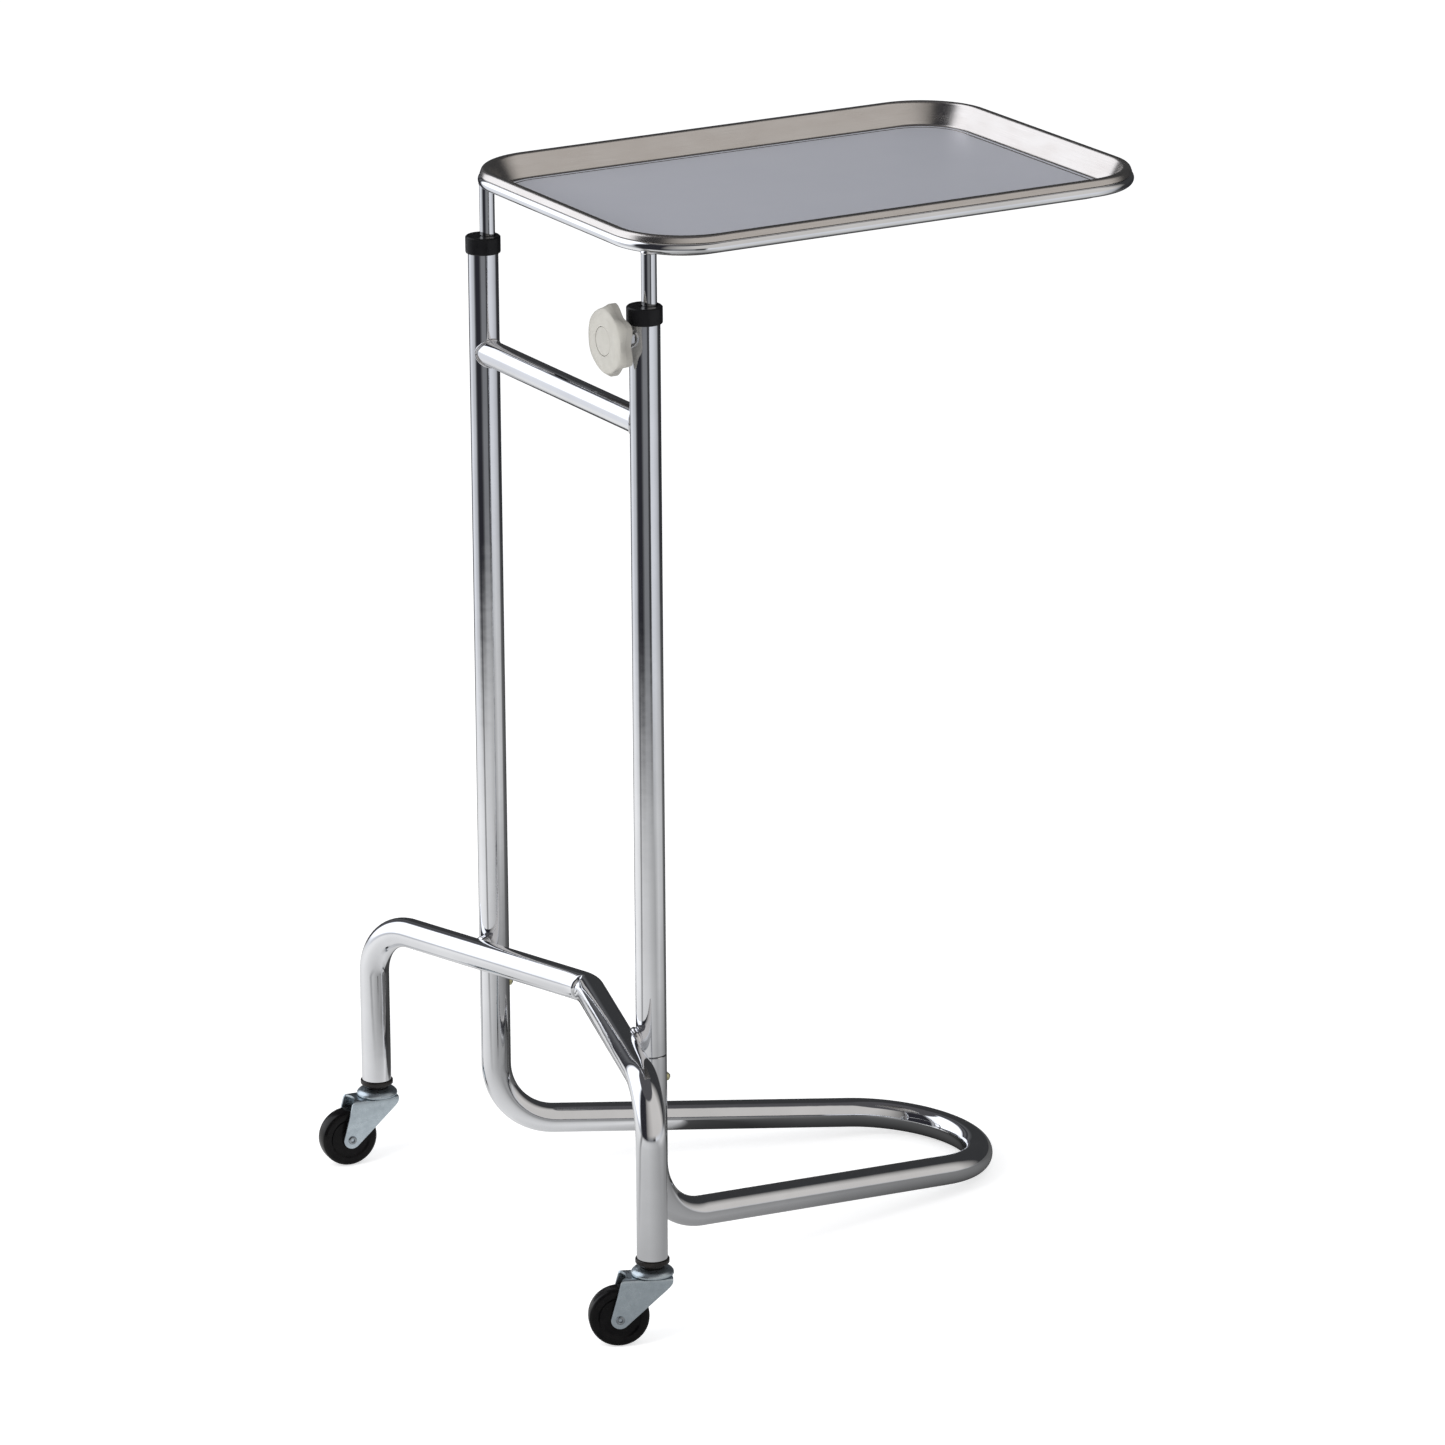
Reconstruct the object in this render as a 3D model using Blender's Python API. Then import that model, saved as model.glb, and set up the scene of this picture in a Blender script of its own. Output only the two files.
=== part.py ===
"""Instrument stand: a chrome double-post stand with a lift-off steel tray on two swivel casters.

Metres, +Z up.  +X runs from the posts toward the free end of the tray, +Y to the left-hand post
of a person who stands behind the posts and faces the tray.  Positions below are measured from
the middle of the two post axes at floor level; the empty "cart" moves the whole model so that
its origin is the bottom centre of its bounding box.
"""
import math

import bmesh
import bpy
from mathutils import Matrix, Vector

GAP = 0.0003                    # running clearance kept between touching pieces

# Where the middle of the posts stands in the model's own frame
ORIGIN = Vector((-0.17932, -0.00011, 0.0))

# Tubes of the stand
TUBE_R = 0.0127                 # 1 inch tube: posts, caster bar and base loop
TUBE_WALL = 0.00165
BORE_R = TUBE_R - TUBE_WALL
TUBE_SIDES = 16
POST_Y = 0.1365                 # half the distance between the post axes
SEAM_Z = 0.2055                 # posts end here and the base loop begins
CAP_TOP_Z = 0.8415
CROSSBAR_R = 0.0111
CROSSBAR_WALL = 0.0015
CROSSBAR_Z = 0.7430

# Caster bar: a V in plan whose arms pass behind the posts and turn down to the casters
ARM_ANGLE = math.radians(17.6)  # between each arm and the Y axis
BAR_Z = 0.2178
LEG_Y = 0.2434                  # half the distance between the caster legs
LEG_BOTTOM_Z = 0.0740
LEG_BEND_R = 0.046
APEX_BEND_R = 0.026

# Base loop: out of the posts, forward along the floor and round at the front
BASE_SLOPE = -0.1209            # fall of the loop toward its front
BASE_CONVERGE = 0.1712          # inward run of each side per unit of X
BASE_HEEL_R = 0.058             # bend between upright and floor run
BASE_NOSE_R = 0.083             # half-round front

# Sleeves and screws that join the posts to the base loop
SLEEVE_R = 0.0107
SLEEVE_WALL = 0.0020
SLEEVE_TOP_Z = 0.2450
SLEEVE_BOTTOM_Z = 0.1500
SCREW_Z = 0.1828
SCREW_HEAD_R = 0.0036
SCREW_HEAD_LENGTH = 0.0042
SCREW_SHANK_R = 0.0024
SCREW_HOLE_R = 0.0028

# Sliding support of the tray
ROD_R = 0.00635
ROD_WALL = 0.0012
ROD_X = 0.0044                  # the rods bear on the front wall of the posts
ROD_BOTTOM_Z = 0.4260
GLIDE_R = 0.0107
GLIDE_LENGTH = 0.022
RING_R = 0.00476
RING_Z = 0.8897
RING_OUTSET = 0.0030            # ring axis outside the tray's ridge line

# Tray
RIDGE_X = (-0.0040, 0.4650)     # ridge line of the rim, rear and front
RIDGE_Y = 0.1635
RIDGE_Z = 0.9000
RIDGE_CORNER_R = 0.058
TRAY_SHEET = 0.0009
TRAY_DEPTH = 0.0195
TRAY_PROFILE = (                # offset outward from the ridge line, height from the ridge
    (0.0062, -0.0050),
    (0.0016, -0.0008),
    (0.0007, -0.0001),
    (-0.0004, -0.0001),
    (-0.0015, -0.0011),
    (-0.0098, -0.0162),
    (-0.0118, -0.0186),
    (-0.0145, -TRAY_DEPTH),
)

# Post caps
CAP_R = 0.01475
CAP_HEIGHT = 0.0143
CAP_ROOF = 0.0030

# Height clamp on the right-hand post
CLAMP_Z = 0.8170
STUD_R = 0.0039
STUD_BORE_R = 0.0043
NUT_FLATS = 0.0130
NUT_LENGTH = 0.0074
KNOB_R = 0.0300
KNOB_LOBES = 6
KNOB_LOBE_DEPTH = 0.0042
KNOB_FRONT_X = -0.0388
KNOB_BACK_X = -0.0245
KNOB_HUB_BACK_X = -0.0212
KNOB_HUB_R = 0.0090
KNOB_CAP_R = 0.0117
KNOB_CAP_DEPTH = 0.0020

# Casters
# Way each wheel trails at rest, from +X toward +Y
TRAIL_ANGLE = {"left": math.radians(173.0), "right": math.radians(157.0)}
CASTER_TRAIL = 0.0280
WHEEL_R = 0.0250
WHEEL_WIDTH = 0.0170
WHEEL_HUB_WIDTH = 0.0192
WHEEL_BORE_R = 0.0045
BUSHING_R = 0.0042
BUSHING_BORE_R = 0.0028
BUSHING_LENGTH = 0.0198
FORK_WIDTH = 0.0250
FORK_SHEET = 0.0021
FORK_TOP_Z = 0.0597
FORK_BACK = -0.0160
FORK_FRONT = 0.0262
FORK_TOE_R = 0.0076
AXLE_R = 0.0024
AXLE_HEAD_R = 0.0034
AXLE_HEAD_LENGTH = 0.0016
STEM_R = 0.0050
STEM_HEAD_R = 0.0075
STEM_TOP_Z = 0.1080
CUP_R = 0.0176
COLLAR_R = 0.0141
COLLAR_TOP_Z = LEG_BOTTOM_Z - GAP
COLLAR_BOTTOM_Z = 0.0697
NECK_BOTTOM_Z = 0.0668
SOCKET_R = BORE_R - GAP
SOCKET_TOP_Z = 0.1120

SMOOTH_BELOW = math.radians(42.0)


def clear_scene():
    for item in list(bpy.data.objects):
        bpy.data.objects.remove(item, do_unlink=True)


def finish_material(name, colour, roughness, metallic):
    material = bpy.data.materials.new(name)
    material.use_nodes = True
    shader = material.node_tree.nodes["Principled BSDF"]
    shader.inputs["Base Color"].default_value = (*colour, 1.0)
    shader.inputs["Roughness"].default_value = roughness
    shader.inputs["Metallic"].default_value = metallic
    return material


FINISHES = {
    "chrome": ((0.78, 0.79, 0.81), 0.08, 1.0),
    "tray_steel": ((0.60, 0.58, 0.56), 0.32, 1.0),
    "zinc": ((0.66, 0.69, 0.72), 0.30, 1.0),
    "brass_zinc": ((0.62, 0.58, 0.38), 0.35, 1.0),
    "black_plastic": ((0.018, 0.018, 0.020), 0.40, 0.0),
    "black_rubber": ((0.022, 0.021, 0.021), 0.45, 0.0),
    "grey_plastic": ((0.62, 0.62, 0.62), 0.45, 0.0),
    "nylon": ((0.85, 0.84, 0.80), 0.50, 0.0),
}


def place(name, mesh, finish, parent, location=(0.0, 0.0, 0.0)):
    """Makes the named node from a mesh, with a material of its own."""
    mesh.shade_smooth()
    mesh.set_sharp_from_angle(angle=SMOOTH_BELOW)
    node = bpy.data.objects.new(name, mesh)
    bpy.context.scene.collection.objects.link(node)
    node.parent = parent
    node.location = location
    colour, roughness, metallic = FINISHES[finish]
    mesh.materials.append(finish_material(name + "_finish", colour, roughness, metallic))
    return node


def empty(name, parent, location, turn=0.0):
    pivot = bpy.data.objects.new(name, None)
    bpy.context.scene.collection.objects.link(pivot)
    pivot.parent = parent
    pivot.location = location
    pivot.rotation_euler = (0.0, 0.0, turn)
    return pivot


# Shapes

def stack_mesh(name, rings, joined):
    """Skins rings of equal length.  Joined rings close on themselves; others get flat ends."""
    bm = bmesh.new()
    rows = [[bm.verts.new(point) for point in ring] for ring in rings]
    pairs = list(zip(rows, rows[1:]))
    if joined:
        pairs.append((rows[-1], rows[0]))
    count = len(rows[0])
    for lower, upper in pairs:
        for i in range(count):
            j = (i + 1) % count
            bm.faces.new((lower[i], lower[j], upper[j], upper[i]))
    if not joined:
        bm.faces.new(rows[0])
        bm.faces.new(rows[-1])
    bmesh.ops.recalc_face_normals(bm, faces=bm.faces)
    mesh = bpy.data.meshes.new(name)
    bm.to_mesh(mesh)
    bm.free()
    return mesh


def circle(radius, height, sides, centre=(0.0, 0.0)):
    turns = [2.0 * math.pi * i / sides for i in range(sides)]
    x, y = centre
    return [(x + radius * math.cos(a), y + radius * math.sin(a), height) for a in turns]


def turned_mesh(name, profile, sides, joined=False):
    """Turns (radius, height) pairs about Z."""
    return stack_mesh(name, [circle(r, z, sides) for r, z in profile], joined)


def onto_axis(mesh, axis):
    """Lays a mesh made about Z along another axis."""
    turn = Vector((0.0, 0.0, 1.0)).rotation_difference(Vector(axis)).to_matrix().to_4x4()
    mesh.transform(turn)
    return mesh


def filleted(corners, radii, step=math.radians(12.0)):
    """Runs through corner points, with an arc of the given radius at each inner corner."""
    corners = [Vector(c) for c in corners]
    points = [corners[0]]
    for before, corner, after, radius in zip(corners, corners[1:], corners[2:], radii):
        inward = (before - corner).normalized()
        outward = (after - corner).normalized()
        turn = math.pi - inward.angle(outward)
        reach = radius * math.tan(turn / 2.0)
        centre_way = (inward + outward).normalized()
        centre = corner + centre_way * (radius / math.cos(turn / 2.0))
        arm = corner + inward * reach - centre
        along = -inward
        steps = max(2, round(turn / step))
        for i in range(steps + 1):
            a = turn * i / steps
            points.append(centre + arm * math.cos(a) + along * (radius * math.sin(a)))
    points.append(corners[-1])
    return points


def sweep_rings(path, radius, sides, closed, start_side):
    """Rings of a round section carried along a path without twist."""
    count = len(path)
    ways = []
    for i in range(count):
        if closed:
            way = path[(i + 1) % count] - path[i - 1]
        else:
            way = path[min(i + 1, count - 1)] - path[max(i - 1, 0)]
        ways.append(way.normalized())
    side = Vector(start_side)
    rings = []
    for point, way in zip(path, ways):
        side = (side - way * side.dot(way)).normalized()
        other = way.cross(side)
        turns = [2.0 * math.pi * k / sides for k in range(sides)]
        rings.append([point + radius * (side * math.cos(a) + other * math.sin(a)) for a in turns])
    return rings


def tube_mesh(name, path, radius, wall, sides, start_side):
    """An open-ended tube along a path."""
    outer = sweep_rings(path, radius, sides, False, start_side)
    inner = sweep_rings(path, radius - wall, sides, False, start_side)
    return stack_mesh(name, outer + inner[::-1], joined=True)


def rounded_rectangle(x_range, half_y, radius, outset, height, per_corner=5):
    """One ring round a rectangle with rounded corners, moved outward by outset."""
    low_x, high_x = x_range
    centres = (
        (high_x - radius, half_y - radius, 0.0),
        (low_x + radius, half_y - radius, 0.5 * math.pi),
        (low_x + radius, -half_y + radius, math.pi),
        (high_x - radius, -half_y + radius, 1.5 * math.pi),
    )
    ring = []
    for x, y, start in centres:
        for i in range(per_corner + 1):
            a = start + 0.5 * math.pi * i / per_corner
            reach = radius + outset
            ring.append(Vector((x + reach * math.cos(a), y + reach * math.sin(a), height)))
    return ring


def cut(node, cutter_mesh, name, parent=None):
    """Takes a cutter's shape out of a node."""
    cutter = bpy.data.objects.new(name, cutter_mesh)
    bpy.context.scene.collection.objects.link(cutter)
    cutter.parent = parent or node.parent
    cutter.hide_render = True
    cutter.display_type = 'WIRE'
    modifier = node.modifiers.new(name, 'BOOLEAN')
    modifier.operation = 'DIFFERENCE'
    modifier.solver = 'EXACT'
    modifier.object = cutter


def rod_cutter(name, radius, start, end, sides=16):
    """A cylinder between two points, used as a drill."""
    start = Vector(start)
    way = Vector(end) - start
    mesh = turned_mesh(name, ((radius, 0.0), (radius, way.length)), sides)
    onto_axis(mesh, way.normalized())
    mesh.transform(Matrix.Translation(start))
    return mesh


def box_mesh(name, low, high):
    x0, y0, z0 = low
    x1, y1, z1 = high
    floor = [(x0, y0), (x1, y0), (x1, y1), (x0, y1)]
    return stack_mesh(name, [[(x, y, z) for x, y in floor] for z in (z0, z1)], joined=False)


# The welded stand

def make_posts(cart):
    post_top = CAP_TOP_Z - CAP_ROOF - GAP
    for side, y in (("left", POST_Y), ("right", -POST_Y)):
        profile = (
            (TUBE_R, SEAM_Z + GAP),
            (TUBE_R, post_top),
            (BORE_R, post_top),
            (BORE_R, SEAM_Z + GAP),
        )
        mesh = turned_mesh("post_" + side, profile, TUBE_SIDES, joined=True)
        post = place("post_" + side, mesh, "chrome", cart, (0.0, y, 0.0))
        if side == "right":
            start = (-TUBE_R - 0.004, y, CLAMP_Z)
            drill = rod_cutter("clamp_hole", STUD_BORE_R, start, (-0.006, y, CLAMP_Z))
            cut(post, drill, "clamp_hole", cart)


def make_crossbar(cart):
    end_y = POST_Y - 0.004
    path = [Vector((0.0, end_y, CROSSBAR_Z)), Vector((0.0, -end_y, CROSSBAR_Z))]
    mesh = tube_mesh("crossbar", path, CROSSBAR_R, CROSSBAR_WALL, TUBE_SIDES, (1.0, 0.0, 0.0))
    bar = place("crossbar", mesh, "chrome", cart)
    saddle_r = (TUBE_R + GAP) / math.cos(math.pi / 48)
    for side, y in (("left", POST_Y), ("right", -POST_Y)):
        low = (0.0, y, CROSSBAR_Z - 0.03)
        high = (0.0, y, CROSSBAR_Z + 0.03)
        name = "crossbar_saddle_" + side
        cut(bar, rod_cutter(name, saddle_r, low, high, 48), name)


def arm_x(y):
    """X of the caster bar's straight arms at a distance y from the middle."""
    clear = 2.0 * TUBE_R + GAP
    return POST_Y * math.tan(ARM_ANGLE) - clear / math.cos(ARM_ANGLE) - y * math.tan(ARM_ANGLE)


def make_caster_bar(cart):
    leg_x = arm_x(LEG_Y)
    corners = (
        (leg_x, LEG_Y, LEG_BOTTOM_Z),
        (leg_x, LEG_Y, BAR_Z),
        (arm_x(0.0), 0.0, BAR_Z),
        (leg_x, -LEG_Y, BAR_Z),
        (leg_x, -LEG_Y, LEG_BOTTOM_Z),
    )
    path = filleted(corners, (LEG_BEND_R, APEX_BEND_R, LEG_BEND_R))
    mesh = tube_mesh("caster_bar", path, TUBE_R, TUBE_WALL, TUBE_SIDES, (1.0, 0.0, 0.0))
    place("caster_bar", mesh, "chrome", cart)


def make_base_loop(cart):
    # The two sides would meet at this distance in front of the posts
    meet_x = POST_Y / BASE_CONVERGE
    half_turn = math.atan(BASE_CONVERGE)
    nose_x = meet_x - BASE_NOSE_R * (1.0 / math.sin(half_turn) - 1.0)
    heel_z = TUBE_R * math.cos(math.atan(BASE_SLOPE)) - BASE_SLOPE * nose_x
    top_z = SEAM_Z - GAP
    corners = (
        (0.0, POST_Y, top_z),
        (0.0, POST_Y, heel_z),
        (meet_x, 0.0, heel_z + BASE_SLOPE * meet_x),
        (0.0, -POST_Y, heel_z),
        (0.0, -POST_Y, top_z),
    )
    path = filleted(corners, (BASE_HEEL_R, BASE_NOSE_R, BASE_HEEL_R))
    mesh = tube_mesh("base_loop", path, TUBE_R, TUBE_WALL, TUBE_SIDES, (1.0, 0.0, 0.0))
    loop = place("base_loop", mesh, "chrome", cart)
    for side, y in (("left", POST_Y), ("right", -POST_Y)):
        name = "base_screw_hole_" + side
        start = (0.006, y, SCREW_Z)
        end = (TUBE_R + 0.004, y, SCREW_Z)
        cut(loop, rod_cutter(name, SCREW_HOLE_R, start, end, 12), name)


def make_sleeves(cart):
    bore = SLEEVE_R - SLEEVE_WALL
    profile = (
        (SLEEVE_R, SLEEVE_BOTTOM_Z),
        (SLEEVE_R, SLEEVE_TOP_Z),
        (bore, SLEEVE_TOP_Z),
        (bore, SLEEVE_BOTTOM_Z),
    )
    for side, y in (("left", POST_Y), ("right", -POST_Y)):
        mesh = turned_mesh("post_sleeve_" + side, profile, TUBE_SIDES, joined=True)
        sleeve = place("post_sleeve_" + side, mesh, "zinc", cart, (0.0, y, 0.0))
        name = "sleeve_screw_hole_" + side
        start = (0.004, y, SCREW_Z)
        end = (TUBE_R + 0.004, y, SCREW_Z)
        cut(sleeve, rod_cutter(name, SCREW_HOLE_R, start, end, 12), name, cart)


def make_base_screws(cart):
    head_start = TUBE_R + GAP
    profile = (
        (SCREW_SHANK_R, 0.0072),
        (SCREW_SHANK_R, head_start),
        (SCREW_HEAD_R, head_start),
        (SCREW_HEAD_R, head_start + 0.6 * SCREW_HEAD_LENGTH),
        (0.72 * SCREW_HEAD_R, head_start + 0.92 * SCREW_HEAD_LENGTH),
        (0.30 * SCREW_HEAD_R, head_start + SCREW_HEAD_LENGTH),
    )
    for side, y in (("left", POST_Y), ("right", -POST_Y)):
        mesh = onto_axis(turned_mesh("base_screw_" + side, profile, 12), (1.0, 0.0, 0.0))
        place("base_screw_" + side, mesh, "brass_zinc", cart, (0.0, y, SCREW_Z))


def make_post_caps(cart):
    skirt_r = TUBE_R + GAP
    roof_z = CAP_TOP_Z - CAP_ROOF
    profile = (
        (skirt_r, CAP_TOP_Z - CAP_HEIGHT),
        (CAP_R, CAP_TOP_Z - CAP_HEIGHT),
        (CAP_R, CAP_TOP_Z - 0.0009),
        (CAP_R - 0.0009, CAP_TOP_Z),
        (0.0020, CAP_TOP_Z),
        (0.0020, roof_z),
        (skirt_r, roof_z),
    )
    for side, y in (("left", POST_Y), ("right", -POST_Y)):
        mesh = turned_mesh("post_cap_" + side, profile, 24, joined=True)
        cap = place("post_cap_" + side, mesh, "black_plastic", cart, (0.0, y, 0.0))
        name = "cap_rod_hole_" + side
        low = (ROD_X, y, roof_z - 0.004)
        high = (ROD_X, y, CAP_TOP_Z + 0.004)
        cut(cap, rod_cutter(name, ROD_R + 0.0004, low, high, 24), name, cart)


def make_clamp_nut(cart):
    corner_r = NUT_FLATS / 2.0 / math.cos(math.pi / 6)
    outer_end = TUBE_R + GAP + NUT_LENGTH
    profile = (
        (corner_r, TUBE_R + GAP),
        (corner_r, outer_end),
    )
    mesh = turned_mesh("clamp_nut", profile, 6)
    onto_axis(mesh, (-1.0, 0.0, 0.0))
    nut = place("clamp_nut", mesh, "chrome", cart, (0.0, -POST_Y, CLAMP_Z))
    start = (-TUBE_R + 0.002, -POST_Y, CLAMP_Z)
    end = (-outer_end - 0.002, -POST_Y, CLAMP_Z)
    cut(nut, rod_cutter("clamp_nut_bore", STUD_BORE_R, start, end), "clamp_nut_bore", cart)


def make_caster_mounts(cart):
    """What the legs carry and what never turns: plastic sockets, stems and swivel cups."""
    stem_bore = STEM_R + GAP
    socket = (
        (stem_bore, NECK_BOTTOM_Z),
        (0.0093, NECK_BOTTOM_Z),
        (0.0112, COLLAR_BOTTOM_Z),
        (COLLAR_R - 0.0008, COLLAR_BOTTOM_Z + 0.0004),
        (COLLAR_R, COLLAR_BOTTOM_Z + 0.0014),
        (COLLAR_R, COLLAR_TOP_Z - 0.0012),
        (COLLAR_R - 0.0010, COLLAR_TOP_Z),
        (SOCKET_R, COLLAR_TOP_Z),
        (SOCKET_R, SOCKET_TOP_Z - 0.0010),
        (SOCKET_R - 0.0010, SOCKET_TOP_Z),
        (stem_bore, SOCKET_TOP_Z),
    )
    head_top = FORK_TOP_Z - FORK_SHEET - GAP
    stem = (
        (STEM_HEAD_R - 0.0008, head_top - 0.0022),
        (STEM_HEAD_R, head_top - 0.0014),
        (STEM_HEAD_R, head_top),
        (STEM_R, head_top),
        (STEM_R, STEM_TOP_Z - 0.0010),
        (STEM_R - 0.0010, STEM_TOP_Z),
    )
    cup_top = NECK_BOTTOM_Z - GAP
    cup_bottom = FORK_TOP_Z + 0.0008
    sheet = 0.0012
    cup = (
        (stem_bore, cup_top),
        (0.0100, cup_top),
        (0.0128, cup_top - 0.0008),
        (0.0158, cup_top - 0.0028),
        (CUP_R, cup_top - 0.0048),
        (CUP_R, cup_bottom),
        (CUP_R - sheet, cup_bottom),
        (CUP_R - sheet, cup_top - 0.0048),
        (0.0150, cup_top - 0.0038),
        (0.0124, cup_top - 0.0021),
        (0.0100, cup_top - sheet),
        (stem_bore, cup_top - sheet),
    )
    for side, y in (("left", LEG_Y), ("right", -LEG_Y)):
        spot = (arm_x(LEG_Y), y, 0.0)
        mesh = turned_mesh("caster_socket_" + side, socket, TUBE_SIDES, joined=True)
        place("caster_socket_" + side, mesh, "black_plastic", cart, spot)
        mesh = turned_mesh("caster_stem_" + side, stem, 16)
        place("caster_stem_" + side, mesh, "zinc", cart, spot)
        mesh = turned_mesh("swivel_cup_" + side, cup, 20, joined=True)
        place("swivel_cup_" + side, mesh, "zinc", cart, spot)


# The sliding support and the tray

def make_support(lift):
    x_range = (RIDGE_X[0] - RING_OUTSET, RIDGE_X[1] + RING_OUTSET)
    corner_r = RIDGE_CORNER_R + RING_OUTSET
    path = rounded_rectangle(x_range, RIDGE_Y + RING_OUTSET, corner_r, 0.0, RING_Z)
    rings = sweep_rings(path, RING_R, 12, True, (0.0, 0.0, 1.0))
    place("tray_ring", stack_mesh("tray_ring", rings, joined=True), "chrome", lift)
    top_z = RING_Z - RING_R - GAP
    rod_bore = ROD_R - ROD_WALL
    rod = (
        (ROD_R, ROD_BOTTOM_Z),
        (ROD_R, top_z),
        (rod_bore, top_z),
        (rod_bore, ROD_BOTTOM_Z),
    )
    for side, y in (("left", POST_Y), ("right", -POST_Y)):
        mesh = turned_mesh("support_rod_" + side, rod, 16, joined=True)
        place("support_rod_" + side, mesh, "chrome", lift, (ROD_X, y, 0.0))
        make_glide("rod_glide_" + side, lift, y, rod_bore - 2.0 * GAP)


def make_glide(name, lift, y, spigot_r):
    """A plug that fills the post and has an off-centre spigot up inside the rod."""
    plug_top = ROD_BOTTOM_Z - GAP
    plug_bottom = plug_top - GLIDE_LENGTH
    rings = [
        circle(GLIDE_R - 0.0010, plug_bottom, 20),
        circle(GLIDE_R, plug_bottom + 0.0010, 20),
        circle(GLIDE_R, plug_top - 0.0006, 20),
        circle(GLIDE_R - 0.0006, plug_top, 20),
        circle(spigot_r, plug_top, 20, (ROD_X, 0.0)),
        circle(spigot_r, plug_top + 0.0130, 20, (ROD_X, 0.0)),
        circle(spigot_r - 0.0008, plug_top + 0.0140, 20, (ROD_X, 0.0)),
    ]
    place(name, stack_mesh(name, rings, joined=False), "nylon", lift, (0.0, y, 0.0))


def make_tray(holder):
    rings = []
    for outset, height in TRAY_PROFILE:
        z = RIDGE_Z + height
        rings.append(rounded_rectangle(RIDGE_X, RIDGE_Y, RIDGE_CORNER_R, outset, z))
    under = []
    for i, (outset, height) in enumerate(TRAY_PROFILE):
        before = TRAY_PROFILE[max(i - 1, 0)]
        after = TRAY_PROFILE[min(i + 1, len(TRAY_PROFILE) - 1)]
        way = Vector((after[0] - before[0], after[1] - before[1]))
        if i == len(TRAY_PROFILE) - 1:
            way = Vector((-1.0, 0.0))
        way.normalize()
        inset = outset - way.y * TRAY_SHEET
        z = RIDGE_Z + height + way.x * TRAY_SHEET
        under.append(rounded_rectangle(RIDGE_X, RIDGE_Y, RIDGE_CORNER_R, inset, z))
    mesh = stack_mesh("tray", rings[::-1] + under, joined=False)
    place("tray", mesh, "tray_steel", holder)


# The height clamp

def lobed(radius, x, sides):
    """A ring of the knob: radius dips between the lobes where the ring is wide."""
    ring = []
    for i in range(sides):
        a = 2.0 * math.pi * i / sides
        dip = (0.5 - 0.5 * math.cos(KNOB_LOBES * (a - 0.5 * math.pi))) ** 1.4
        wide = max(0.0, (radius - KNOB_CAP_R) / (KNOB_R - KNOB_CAP_R))
        r = radius - KNOB_LOBE_DEPTH * dip * wide
        ring.append((-x, r * math.cos(a), r * math.sin(a)))
    return ring


def make_clamp(screw, knob):
    rod_face = ROD_X - ROD_R
    tip_x = -rod_face + GAP
    stud_end = -KNOB_FRONT_X - 0.0050
    stud = (
        (STUD_R - 0.0008, tip_x),
        (STUD_R, tip_x + 0.0010),
        (STUD_R, stud_end),
    )
    mesh = onto_axis(turned_mesh("clamp_stud", stud, 16), (-1.0, 0.0, 0.0))
    place("clamp_stud", mesh, "zinc", screw)

    sides = KNOB_LOBES * 8
    bore = STUD_R + GAP
    front = -KNOB_FRONT_X
    back = -KNOB_BACK_X
    hub_back = -KNOB_HUB_BACK_X
    pocket = front - KNOB_CAP_DEPTH
    rings = [lobed(r, x, sides) for r, x in (
        (bore, hub_back),
        (KNOB_HUB_R, hub_back),
        (KNOB_HUB_R + 0.0012, back - 0.0002),
        (KNOB_R - 0.0060, back),
        (KNOB_R - 0.0012, back + 0.0012),
        (KNOB_R, back + 0.0036),
        (KNOB_R, front - 0.0080),
        (KNOB_R - 0.0030, front - 0.0022),
        (KNOB_R - 0.0065, front),
        (KNOB_CAP_R + GAP, front),
        (KNOB_CAP_R + GAP, pocket),
        (bore, pocket),
    )]
    mesh = stack_mesh("clamp_knob", rings, joined=True)
    place("clamp_knob", mesh, "grey_plastic", knob)

    cap = (
        (KNOB_CAP_R, pocket + GAP),
        (KNOB_CAP_R, front - 0.0009),
        (KNOB_CAP_R - 0.0005, front - 0.0004),
    )
    mesh = onto_axis(turned_mesh("knob_cap", cap, 28), (-1.0, 0.0, 0.0))
    place("knob_cap", mesh, "grey_plastic", knob)


# Casters

def fork_mesh(name):
    """Fork sheet before its inside is cut away: the side outline, as wide as the fork."""
    toe = Vector((CASTER_TRAIL, WHEEL_R))
    heel = Vector((FORK_BACK, FORK_TOP_Z - 0.0045))
    way = toe - heel
    lean = math.atan2(way.y, way.x) - math.asin(FORK_TOE_R / way.length)
    start = lean - math.pi / 2.0
    stop = math.radians(3.5)
    outline = [Vector((FORK_BACK, FORK_TOP_Z)), heel]
    for i in range(11):
        a = start + (stop - start) * i / 10
        outline.append(toe + FORK_TOE_R * Vector((math.cos(a), math.sin(a))))
    outline.append(Vector((FORK_FRONT, FORK_TOP_Z)))
    sides = [[(t, y, z) for t, z in outline] for y in (-FORK_WIDTH / 2.0, FORK_WIDTH / 2.0)]
    return stack_mesh(name, sides, joined=False)


def wheel_profile():
    half = WHEEL_WIDTH / 2.0
    hub = WHEEL_HUB_WIDTH / 2.0
    side = (
        (WHEEL_BORE_R, hub),
        (0.0072, hub),
        (0.0078, half - 0.0014),
        (0.0172, half - 0.0014),
        (0.0184, half),
        (WHEEL_R - 0.0026, half),
        (WHEEL_R - 0.0008, half - 0.0010),
        (WHEEL_R, half - 0.0032),
    )
    return side + tuple((r, -z) for r, z in side[::-1])


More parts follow.
